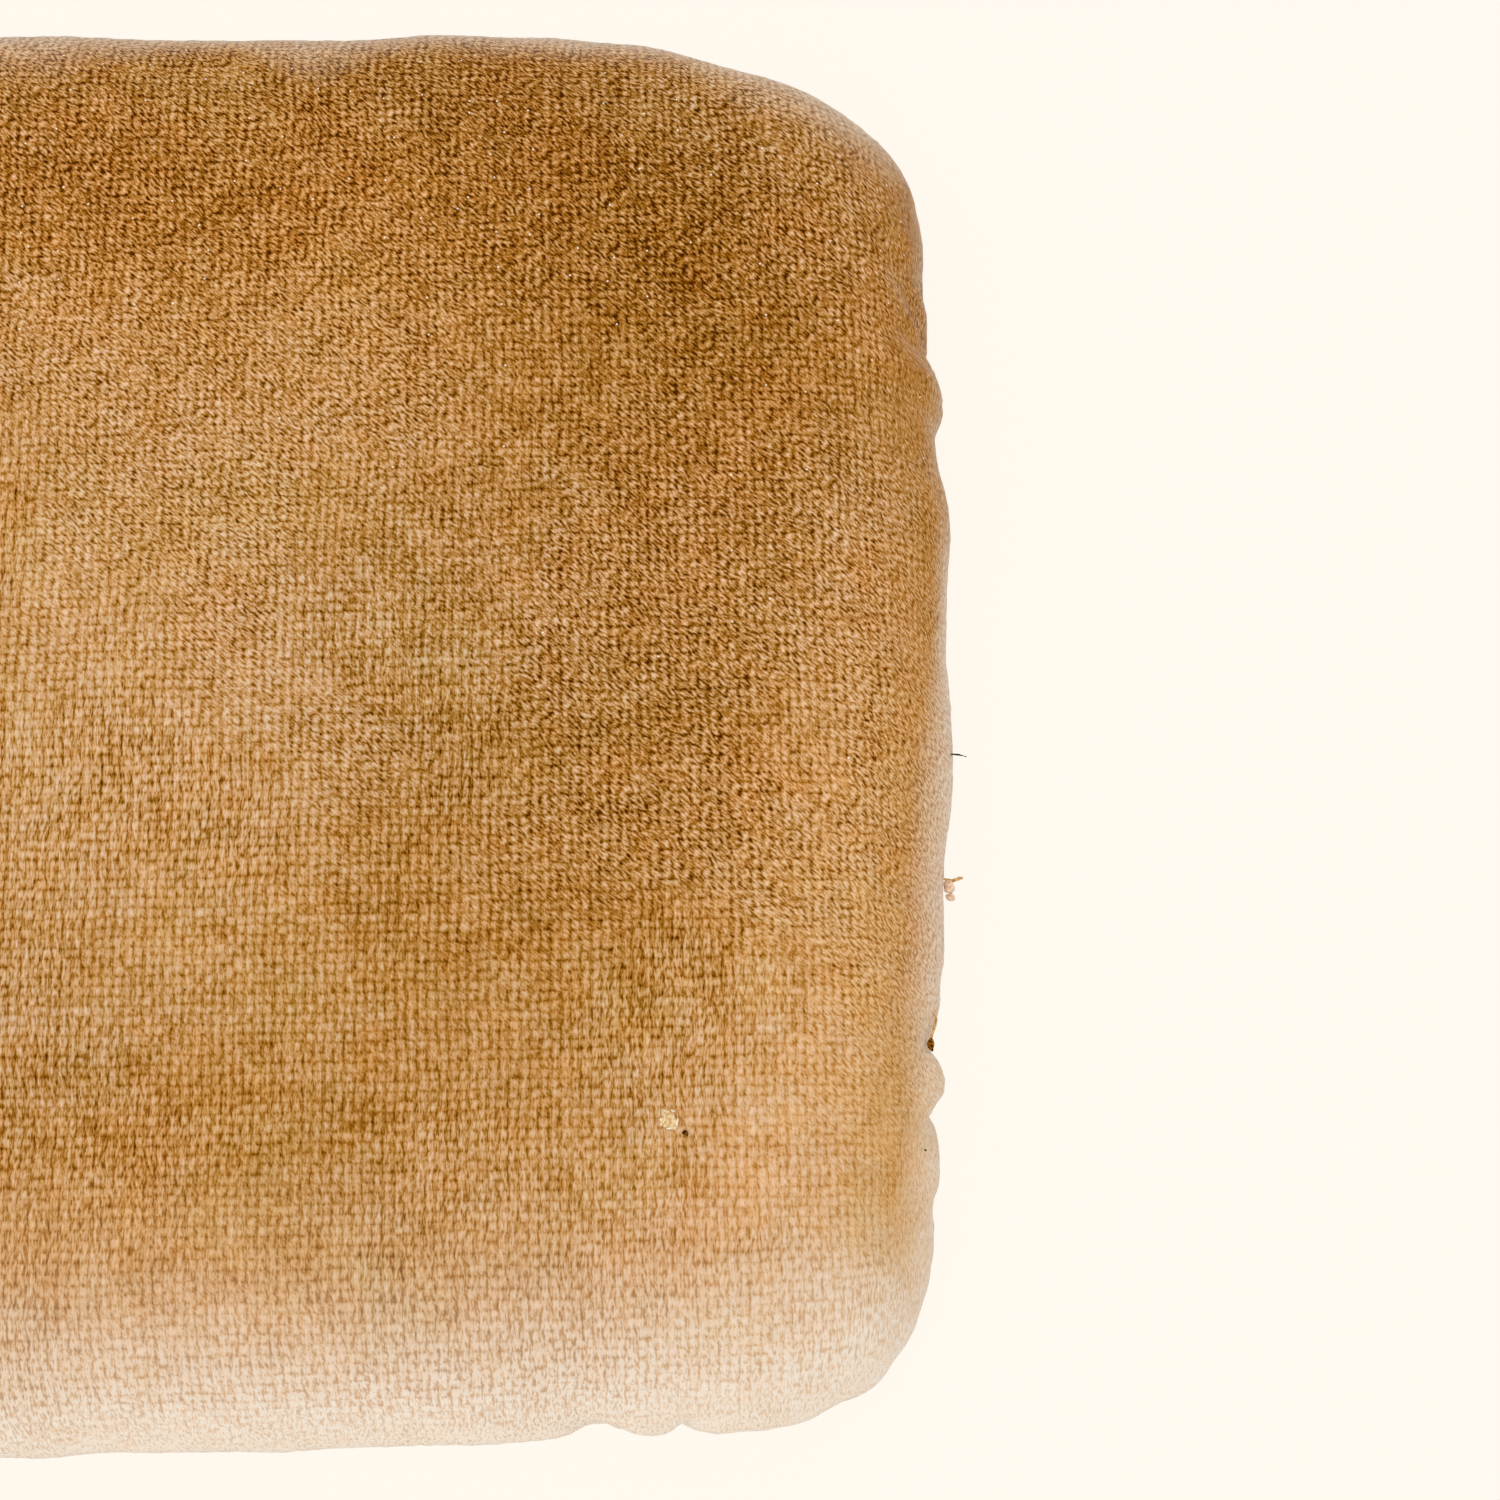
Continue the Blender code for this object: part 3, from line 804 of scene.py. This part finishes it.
def pile_fibres(n, threads, place, lean):
    """Streaks of fibres, upright at the front and slanted where the pile leans."""
    inputs = {"Vector": threads, "Rotation": (0.0, 0.0, FIBRE_SLANT)}
    slanted = n.add("ShaderNodeMapping", inputs).outputs[0]
    streaks = []
    for vector, along in ((threads, 420.0), (slanted, 560.0)):
        stretched = n.vector("MULTIPLY", vector, (1500.0, along, 1.0))
        streaks.append(n.noise(stretched, 1.0, roughness=0.6, dimensions="2D").outputs[0])
    brushed = n.range(n.noise(place, 14.0, detail=1.0).outputs[0], 0.40, 0.60, -0.35, 0.35)
    brushed = n.math("ADD", lean, brushed, clamp=True)
    return n.math("SUBTRACT", n.mix_value(brushed, *streaks), 0.5)


def pile_weave(n, cloth, place, lean, contrast):
    """(lightness, height) of the rows of tufts and their fibres, both about zero; the lightness
    paints highlights on the tufts' middles and shade in the gaps between them.
    """
    threads = wandering_threads(n, cloth, lean)
    tufts, angles = tuft_grid(n, threads)
    tuft, shade = tuft_relief(n, tufts)
    # Painted light on one side of each tuft and painted shade on the other
    behind, _ = tuft_relief(n, n.vector("ADD", tufts, (-0.26, 0.20, 0.0)))
    lit_side = n.math("SUBTRACT", tuft, behind)
    fibres = pile_fibres(n, threads, place, lean)

    columns = n.math("COSINE", angles[0])
    columns = n.math("MULTIPLY", columns, n.range(lean, 1.0, 0.0, 0.3, 1.0))
    weave = n.math("MULTIPLY", tuft, TUFT_WEIGHT)
    weights = (LIT_SIDE_WEIGHT, TUFT_SHADE_WEIGHT, COLUMN_WEIGHT)
    for part, weight in zip((lit_side, shade, columns), weights):
        weave = n.math("ADD", weave, n.math("MULTIPLY", part, weight))
    # Painted shade in the pits between the tufts
    pits = n.math("MULTIPLY", n.math("SUBTRACT", 0.5, tuft), n.range(fibres, 0.10, -0.16))
    pits = n.math("MULTIPLY", pits, PIT_WEIGHT)
    weave = n.math("SUBTRACT", n.math("ADD", weave, 0.05), pits)
    weave = n.math("MULTIPLY", weave, contrast)
    streaks = n.math("MULTIPLY", fibres, n.math("MULTIPLY_ADD", contrast, 0.45, 0.95))
    streaks = n.math("MULTIPLY", streaks, n.range(lean, 0.0, 1.0, 0.74, 1.08))
    height = n.math("MULTIPLY", n.math("MULTIPLY", tuft, 0.6), contrast)
    height = n.math("ADD", height, n.math("MULTIPLY", fibres, 1.1))
    return n.math("ADD", weave, streaks), height


def shifted_noise(n, place, shift, scale, detail):
    """A noise field of its own, taken from another part of the same noise."""
    return n.noise(n.vector("ADD", place, shift), scale, detail=detail).outputs[0]


def nap_clouds(n, place, contrast):
    """Large and small clouds of lighter and darker nap, about zero."""
    large = n.noise(place, 16.0, detail=3.0, roughness=0.55).outputs[0]
    large = n.math("MULTIPLY", n.math("SUBTRACT", large, 0.5), 0.16)
    small = n.math("SUBTRACT", shifted_noise(n, place, (1.3, 0.0, 2.0), 108.0, 2.0), 0.5)
    small = n.math("MULTIPLY", small, n.range(contrast, 0.4, 1.0, 0.20, 0.31))
    return n.math("ADD", large, small)


def dyed(n, colour, place):
    """The colour with olive and rose clouds, and with patches of warmer dye."""
    for tint, shift, scale in TINTS:
        cloud = n.range(shifted_noise(n, place, shift, scale, 3.0), 0.50, 0.68, 0.0, 0.6)
        colour = n.mix(cloud, colour, (*tint, 1.0), "MULTIPLY")
    warmth = n.add("ShaderNodeAttribute", attribute_name="warmth").outputs["Fac"]
    dye = n.math("SUBTRACT", shifted_noise(n, place, (0.0, 2.2, 5.0), 100.0, 2.0), 0.5)
    warmth = n.math("MULTIPLY_ADD", dye, 3.2, warmth)
    tint = n.vector("MULTIPLY_ADD", WARM_SHIFT, warmth, (1.0, 1.0, 1.0))
    return n.vector("MULTIPLY", colour, tint)


def velvet_material():
    """Coarse cut pile: rows of tufts with fibre streaks, a mottled nap and a pale sheen; its
    colour also holds painted glints, painted light and shade on the tufts, and painted sheen with
    the wear along the edges.
    """
    n = Nodes("velvet")
    cloth = n.add("ShaderNodeUVMap", uv_map="cloth").outputs[0]
    place = n.place()
    nap = n.add("ShaderNodeAttribute", attribute_name="nap").outputs
    contrast = nap["Alpha"]
    pale, worn_and_sheen, lean = n.split(nap["Color"])[:3]
    weave, height = pile_weave(n, cloth, place, lean, contrast)
    tone = n.math("ADD", pale, nap_clouds(n, place, contrast))
    colour = dyed(n, n.ramp(n.math("ADD", tone, weave), PILE_COLOURS), place)

    mottle = n.noise(place, 120.0, detail=3.0, roughness=0.6).outputs[0]
    worn_and_sheen = n.math("MULTIPLY", worn_and_sheen, n.range(mottle, 0.32, 0.68, 0.86, 1.14))
    streaky = n.math("MINIMUM", n.math("MAXIMUM", weave, -0.09), 0.09)
    streaky = n.math("MULTIPLY", streaky, n.math("MULTIPLY", worn_and_sheen, 4.6))
    # Mixes in the faded colour of wear together with the painted sheen of the edges
    colour = n.mix(n.math("ADD", worn_and_sheen, streaky, clamp=True), colour, (*WORN_AND_SHEEN_COLOUR, 1.0))
    # Painted glints: white dots mixed into the colour
    colour = n.mix(painted_glints(n, cloth, lean), colour, (1.0, 0.98, 0.95, 1.0))
    n.set(Base_Color=colour, Normal=n.bump(height, 0.0008, 0.5), Roughness=0.85)
    n.set(Specular_IOR_Level=0.03, Sheen_Weight=0.8, Sheen_Roughness=0.15)
    n.set(Sheen_Tint=(1.0, 0.95, 0.89, 1.0))
    return n.material


def foam_material():
    """Open-cell seat foam: small cells, with painted shade in their pores."""
    n = Nodes("foam")
    place = n.place()
    cells = n.add("ShaderNodeTexVoronoi", {"Vector": place, "Scale": 900.0})
    pores = n.range(cells.outputs["Distance"], 0.15, 0.75)
    # Painted shade: the pores darker than the cell walls
    colour = n.mix(pores, (0.50, 0.38, 0.13, 1.0), (0.82, 0.70, 0.36, 1.0))
    age = n.range(n.noise(place, 22.0, detail=3.0).outputs[0], 0.35, 0.70, 0.0, 0.4)
    colour = n.mix(age, colour, (0.72, 0.52, 0.20, 1.0))
    n.set(Base_Color=colour, Normal=n.bump(pores, 0.0006, 0.7), Roughness=0.95)
    return n.material


def wadding_material():
    """Polyester wadding: tangled white fibres in soft clumps."""
    n = Nodes("wadding")
    place = n.place()
    stretched = n.vector("MULTIPLY", place, (1.0, 0.35, 1.0))
    fibres = n.noise(stretched, 900.0, detail=4.0, roughness=0.7).outputs[0]
    clumps = n.noise(place, 90.0, detail=3.0).outputs[0]
    shade = n.math("ADD", n.math("MULTIPLY", fibres, 0.6), n.math("MULTIPLY", clumps, 0.4))
    colour = n.mix(n.range(shade, 0.35, 0.62), (0.66, 0.66, 0.63, 1.0), (0.92, 0.92, 0.90, 1.0))
    n.set(Base_Color=colour, Normal=n.bump(shade, 0.0010, 0.7), Roughness=0.9, Sheen_Weight=0.4)
    return n.material


def cambric_material():
    """Black non-woven cloth: fine matted fibres pressed with a grid of small dots."""
    n = Nodes("cambric")
    place = n.place()
    fibres = n.noise(place, 700.0, detail=4.0, roughness=0.7).outputs[0]
    inputs = {"Vector": place, "Rotation": (0.0, 0.0, math.radians(45))}
    turned = n.add("ShaderNodeMapping", inputs).outputs[0]
    grid = n.vector("MULTIPLY", turned, (620.0, 620.0, 0.0))
    inputs = {"Vector": grid, "Scale": 1.0, "Randomness": 0.0}
    dots = n.add("ShaderNodeTexVoronoi", inputs, voronoi_dimensions="2D").outputs["Distance"]
    dots = n.range(dots, 0.20, 0.34)
    black, grey = (0.010, 0.010, 0.011, 1.0), (0.050, 0.049, 0.047, 1.0)
    colour = n.mix(n.range(fibres, 0.30, 0.75), black, grey)
    height = n.math("ADD", n.math("MULTIPLY", dots, 0.6), n.math("MULTIPLY", fibres, 0.6))
    n.set(Base_Color=colour, Normal=n.bump(height, 0.0003, 0.8), Roughness=0.85)
    return n.material


def plywood_material():
    """Birch plywood: long grain on the faces and crossed plies along the edges."""
    n = Nodes("plywood")
    place = n.place()
    up = n.add("ShaderNodeSeparateXYZ", {0: place}).outputs[2]
    stretched = n.vector("MULTIPLY", place, (14.0, 260.0, 260.0))
    grain = n.noise(stretched, 1.0, detail=4.0, roughness=0.6).outputs[0]
    ply = n.math("FLOOR", n.math("DIVIDE", up, 0.0015))
    odd = n.math("ABSOLUTE", n.math("MODULO", ply, 2.0))
    tone = n.math("ADD", n.math("MULTIPLY", grain, 0.8), n.math("MULTIPLY", odd, 0.22))
    stops = ((0.25, (0.36, 0.22, 0.11)), (0.50, (0.62, 0.45, 0.26)), (0.80, (0.74, 0.59, 0.39)))
    colour = n.ramp(tone, stops)
    n.set(Base_Color=colour, Normal=n.bump(grain, 0.0003, 0.5), Roughness=0.65)
    return n.material


def steel_material():
    """Zinc-plated steel with a little unevenness in the plating."""
    n = Nodes("zinc_steel")
    place = n.place()
    spots = n.noise(place, 500.0, detail=3.0).outputs[0]
    colour = n.mix(spots, (0.46, 0.47, 0.48, 1.0), (0.72, 0.73, 0.73, 1.0))
    n.set(Base_Color=colour, Roughness=n.range(spots, 0.3, 0.7, 0.25, 0.45), Metallic=1.0)
    return n.material


def dress_hard_parts():
    """Gives the plywood, T-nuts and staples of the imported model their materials."""
    plywood, steel = plywood_material(), steel_material()
    for name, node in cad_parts.items():
        if name == "plywood_base":
            material = plywood
        elif name.startswith("t_nut") or "staple" in name:
            material = steel
        else:
            continue
        node.data.materials.clear()
        node.data.materials.append(material)


def fibre_material(name, dark, light):
    """Loose yarn or lint: uneven colour along its fibres."""
    n = Nodes(name)
    place = n.place()
    streaks = n.range(n.noise(place, 1300.0).outputs[0], 0.36, 0.64)
    colour = n.mix(streaks, (*dark, 1.0), (*light, 1.0))
    n.set(Base_Color=colour, Roughness=0.8, Specular_IOR_Level=0.05)
    return n.material


def add_cover():
    """The velvet: one cloth over the top, down the sides and in under the base."""
    positions = layer_rings(PROFILE, FLAT_RINGS, 0.0, EDGE_OFFSETS + pile_ends(DOWN))
    mesh = ring_mesh("velvet_cover_cloth", positions)
    cloth = cloth_coordinates()
    set_cloth_uv(mesh, cloth)
    set_nap(mesh, positions)
    cover = add_piece("velvet_cover_cloth", mesh, velvet_material(), ["velvet_cover"])
    solidify = cover.modifiers.new("thickness", "SOLIDIFY")
    solidify.thickness = CLOTH_THICKNESS
    solidify.offset = -1.0


def closed_mesh(name, rings):
    """A closed mesh through rings of points, with a point in the middle of each end."""
    mesh = ring_mesh(name, rings)
    bm = bmesh.new()
    bm.from_mesh(mesh)
    open_edges = [edge for edge in bm.edges if edge.is_boundary]
    bmesh.ops.contextual_create(bm, geom=open_edges)
    bm.to_mesh(mesh)
    bm.free()
    return mesh


def add_foam():
    """The foam block, hollowed under the cover's pleats as the stretched cover presses it."""
    rows = ROLL_RINGS + 1
    outer = layer_rings(PROFILE[:rows], FOAM_FLAT_RINGS, FOAM_DEPTH, EDGE_OFFSETS[:rows])[:, ::2]
    outer[-1, :, 2] = FOAM_BOTTOM
    centre = outer[-1].mean(axis=0)
    below = [centre + (outer[-1] - centre) * share for share in (0.85, 0.6, 0.35, 0.1)]
    mesh = closed_mesh("foam_core_soft", np.concatenate([outer, np.array(below)]))
    foam = add_piece("foam_core_soft", mesh, foam_material(), ["foam_core"])


def add_wadding():
    """The wadding over the foam and down past the edge of the base, thin where it is pressed."""
    rows = ROLL_RINGS + SIDE_RINGS
    profile, offset = PROFILE[:rows], EDGE_OFFSETS[:rows]
    outer = layer_rings(profile, WADDING_FLAT_RINGS, WADDING_DEPTH, offset)[:, ::2]
    beside_board = profile[:, 1] < BESIDE_BOARD
    offset = np.where(beside_board[:, None], np.maximum(offset, 0.0), offset)
    inner = layer_rings(profile, WADDING_FLAT_RINGS, FOAM_DEPTH - GAP, offset)[:, ::2]
    mesh = closed_mesh("wadding_wrap_soft", np.concatenate([outer, inner[::-1]]))
    wadding = add_piece("wadding_wrap_soft", mesh, wadding_material(), ["wadding_wrap"])


def add_dust_cover():
    """The black cloth under the base: its edge is folded under, and bolts pass through holes."""
    steps = (
        (DUST_INSET + DUST_HEM, DUST_TOP),
        (DUST_INSET, DUST_TOP - 0.0001),
        (DUST_INSET, DUST_BOTTOM),
        (DUST_INSET + DUST_HEM - 0.0003, DUST_BOTTOM),
        (DUST_INSET + DUST_HEM + 0.0003, DUST_TOP - DUST_THICKNESS),
    )
    rings = []
    for inset, height in steps:
        ring = OUTLINE[::4] - NORMALS[::4] * (inset * ROLL_SHARE[::4])[:, None]
        rings.append(np.column_stack([ring, np.full(len(ring), height)]))
    inner = [rings[0] * (share, share, 1.0) for share in (0.05, 0.35, 0.70)]
    under = [ring - (0.0, 0.0, DUST_THICKNESS) for ring in inner[::-1]]
    mesh = closed_mesh("dust_cover_cloth", np.array(inner + rings + under))
    cover = add_piece("dust_cover_cloth", mesh, cambric_material(), ["dust_cover"])
    cut_holes(cover, [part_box(f"t_nut_{i}") for i in range(1, 5)])


def cut_holes(obj, boxes):
    """Cuts a round bolt hole through a cloth at each box's middle."""
    bm = bmesh.new()
    for low, high in boxes:
        middle = (low + high) / 2
        bmesh.ops.create_cone(
            bm,
            cap_ends=True,
            segments=32,
            radius1=BOLT_HOLE_RADIUS,
            radius2=BOLT_HOLE_RADIUS,
            depth=CUTTER_HEIGHT,
            matrix=Matrix.Translation((middle.x, middle.y, 0.0)),
        )
    cutter_mesh = bpy.data.meshes.new("cutter")
    bm.to_mesh(cutter_mesh)
    bm.free()
    cutter = bpy.data.objects.new("cutter", cutter_mesh)
    bpy.context.scene.collection.objects.link(cutter)
    boolean = obj.modifiers.new("holes", "BOOLEAN")
    boolean.operation = "DIFFERENCE"
    boolean.object = cutter
    graph = bpy.context.evaluated_depsgraph_get()
    cut = bpy.data.meshes.new_from_object(obj.evaluated_get(graph))
    obj.modifiers.remove(boolean)
    obj.data = cut
    bpy.data.objects.remove(cutter)


def tube(bm, points, radius, sides=6):
    """Adds a closed tube through these points, thinner at both ends."""
    points = [Vector(p) for p in points]
    rings = []
    for i, point in enumerate(points):
        along = (points[min(i + 1, len(points) - 1)] - points[max(i - 1, 0)]).normalized()
        first = along.orthogonal().normalized()
        second = along.cross(first)
        thin = radius * (0.55 if i in (0, len(points) - 1) else 1.0)
        angles = [2 * math.pi * k / sides for k in range(sides)]
        spokes = [first * math.cos(a) + second * math.sin(a) for a in angles]
        rings.append([bm.verts.new(point + spoke * thin) for spoke in spokes])
    for near, far in zip(rings, rings[1:]):
        for k in range(sides):
            j = (k + 1) % sides
            bm.faces.new((near[k], near[j], far[j], far[k]))
    bm.faces.new(rings[0][::-1])
    bm.faces.new(rings[-1])


def add_small_piece(name, bm, material):
    mesh = bpy.data.meshes.new(name)
    bm.to_mesh(mesh)
    bm.free()
    add_piece(name, mesh, material)


def add_lump(bm, place, radii, turn, unevenness, seed):
    """Adds a small uneven lump with these radii, turned about the vertical."""
    random = np.random.default_rng(seed)
    made = bmesh.ops.create_icosphere(bm, subdivisions=3, radius=1.0)["verts"]
    waves = random.normal(0.0, 2.4, (5, 3))
    turned = Matrix.Rotation(turn, 3, "Z")
    for vertex in made:
        bumps = sum(math.sin(vertex.co.dot(Vector(wave)) + k) for k, wave in enumerate(waves))
        size = 1 + unevenness * bumps / 5
        scaled = Vector([c * r * size for c, r in zip(vertex.co, radii)])
        vertex.co = Vector(place) + turned @ scaled


def add_lint():
    """A pale flake of lint on the top, with pale arcs round it: fibres, and painted highlights on
    its right and front rim.
    """
    bm = bmesh.new()
    add_lump(bm, LINT_PLACE, LINT_RADII, 0.5, 0.7, 3)
    add_small_piece("lint", bm, fibre_material("lint", (0.60, 0.36, 0.14), (0.84, 0.66, 0.38)))

    bm = bmesh.new()
    for start, end, reach in LINT_ARCS:
        angles = np.radians(np.linspace(start, end, 5))
        points = [Vector((math.cos(a), math.sin(a), 0.15)) * reach for a in angles]
        tube(bm, [Vector(LINT_PLACE) + point for point in points], LINT_ARC_RADIUS)
    # Pale colour of the arcs: fibres, and painted highlights on the flake's rim
    material = fibre_material("lint arcs", (0.86, 0.72, 0.52), (1.0, 0.93, 0.80))
    add_small_piece("lint_arcs", bm, material)


def add_crumbs():
    """A few crumbs of dirt caught in the pile."""
    bm = bmesh.new()
    for k, (x, y, z, radius) in enumerate(CRUMBS):
        add_lump(bm, (x, y, z), (radius, 0.8 * radius, 0.7 * radius), k, 0.5, k)
    material = fibre_material("crumbs", (0.03, 0.008, 0.001), (0.3, 0.12, 0.014))
    add_small_piece("crumbs", bm, material)


def add_loose_threads():
    """The stem of a frayed tuft and a loose thread, both of the cover's yarn, at the edge."""
    bm = bmesh.new()
    tube(bm, FRAYED_STEM, STEM_RADIUS)
    tube(bm, THREAD, THREAD_RADIUS)
    material = fibre_material("yarn", (0.42, 0.20, 0.05), (0.74, 0.46, 0.20))
    add_small_piece("loose_threads", bm, material)


def add_fluff():
    """The frayed tuft's fluff: two lumps, and a few fibres that stick out of them."""
    bm = bmesh.new()
    for place, radii, turn, seed in FLUFF_LUMPS:
        add_lump(bm, place, radii, turn, 0.5, seed)
    for angle in np.radians(FLUFF_FIBRE_ANGLES):
        out = Vector((math.cos(angle), math.sin(angle), 0.0))
        tip = FLUFF_PLACE + out * FLUFF_FIBRE_LENGTH
        tube(bm, [FLUFF_PLACE, tip], FLUFF_FIBRE_RADIUS, sides=5)
    add_small_piece("fluff", bm, fibre_material("fluff", (0.66, 0.42, 0.27), (0.86, 0.68, 0.52)))


def add_hair():
    bm = bmesh.new()
    tube(bm, HAIR, HAIR_RADIUS)
    add_small_piece("hair", bm, fibre_material("hair", (0.01, 0.007, 0.003), (0.03, 0.022, 0.01)))


def add_knot():
    """The dark knot at the end of the loose thread."""
    bm = bmesh.new()
    add_lump(bm, KNOT, KNOT_RADII, KNOT_TURN, 0.4, 8)
    add_small_piece("knot", bm, fibre_material("knot", (0.022, 0.004, 0.000), (0.40, 0.15, 0.01)))


def add_floor():
    """A pale floor that glows a little, like a light table, so shadows on it stay faint."""
    mesh = bpy.data.meshes.new("floor")
    signs = ((-1, -1), (1, -1), (1, 1), (-1, 1))
    corners = [(x * FLOOR_HALF_SIZE, y * FLOOR_HALF_SIZE, 0) for x, y in signs]
    mesh.from_pydata(corners, [], [(0, 1, 2, 3)])
    floor = bpy.data.objects.new("floor", mesh)
    bpy.context.scene.collection.objects.link(floor)
    floor.location.z = -FLOOR_DROP
    n = Nodes("floor")
    n.set(Base_Color=(0.05, 0.0475, 0.043, 1.0), Roughness=0.9, Specular_IOR_Level=0.0)
    n.set(Emission_Color=(1.0, 0.947, 0.863, 1.0), Emission_Strength=FLOOR_GLOW)
    mesh.materials.append(n.material)


def add_sun(name, azimuth, elevation, softness, strength, colour):
    """A broad far light, with its angles in degrees."""
    light = bpy.data.lights.new(name, "SUN")
    light.angle = math.radians(softness)
    light.energy = strength
    light.color = colour
    obj = bpy.data.objects.new(name, light)
    azimuth, elevation = math.radians(azimuth), math.radians(elevation)
    flat = math.cos(elevation)
    towards = Vector((math.sin(azimuth) * flat, -math.cos(azimuth) * flat, math.sin(elevation)))
    obj.rotation_euler = towards.to_track_quat("Z", "Y").to_euler()
    bpy.context.scene.collection.objects.link(obj)


def add_lights():
    """An even pale sky and three broad suns."""
    world = bpy.data.worlds.new("studio")
    world.use_nodes = True
    background = world.node_tree.nodes["Background"]
    background.inputs["Color"].default_value = (1.0, 0.98, 0.95, 1.0)
    background.inputs["Strength"].default_value = 0.75
    bpy.context.scene.world = world
    for sun in SUNS:
        add_sun(*sun)


def add_camera():
    """The camera, which looks down on the pad from its front."""
    camera = bpy.data.objects.new("camera", bpy.data.cameras.new("camera"))
    camera.data.lens = LENS
    camera.data.clip_start = 0.01
    camera.data.clip_end = 20.0
    turn = Matrix.Rotation(CAMERA_TURN, 4, "Z")
    aim = turn @ Vector((CAMERA_AIM[0], CAMERA_AIM[1], TOP))
    back = turn @ Vector((0.0, -math.sin(CAMERA_TILT), math.cos(CAMERA_TILT)))
    tilt = Matrix.Rotation(CAMERA_TILT, 4, "X")
    camera.matrix_world = Matrix.Translation(aim + back * CAMERA_DISTANCE) @ turn @ tilt
    bpy.context.scene.collection.objects.link(camera)
    bpy.context.scene.camera = camera


def main():
    bpy.context.scene.view_settings.view_transform = "Standard"
    add_camera()
    add_lights()
    add_floor()
    add_foam()
    add_wadding()
    add_cover()
    add_dust_cover()
    dress_hard_parts()
    add_lint()
    add_crumbs()
    add_loose_threads()
    add_fluff()
    add_hair()
    add_knot()


main()
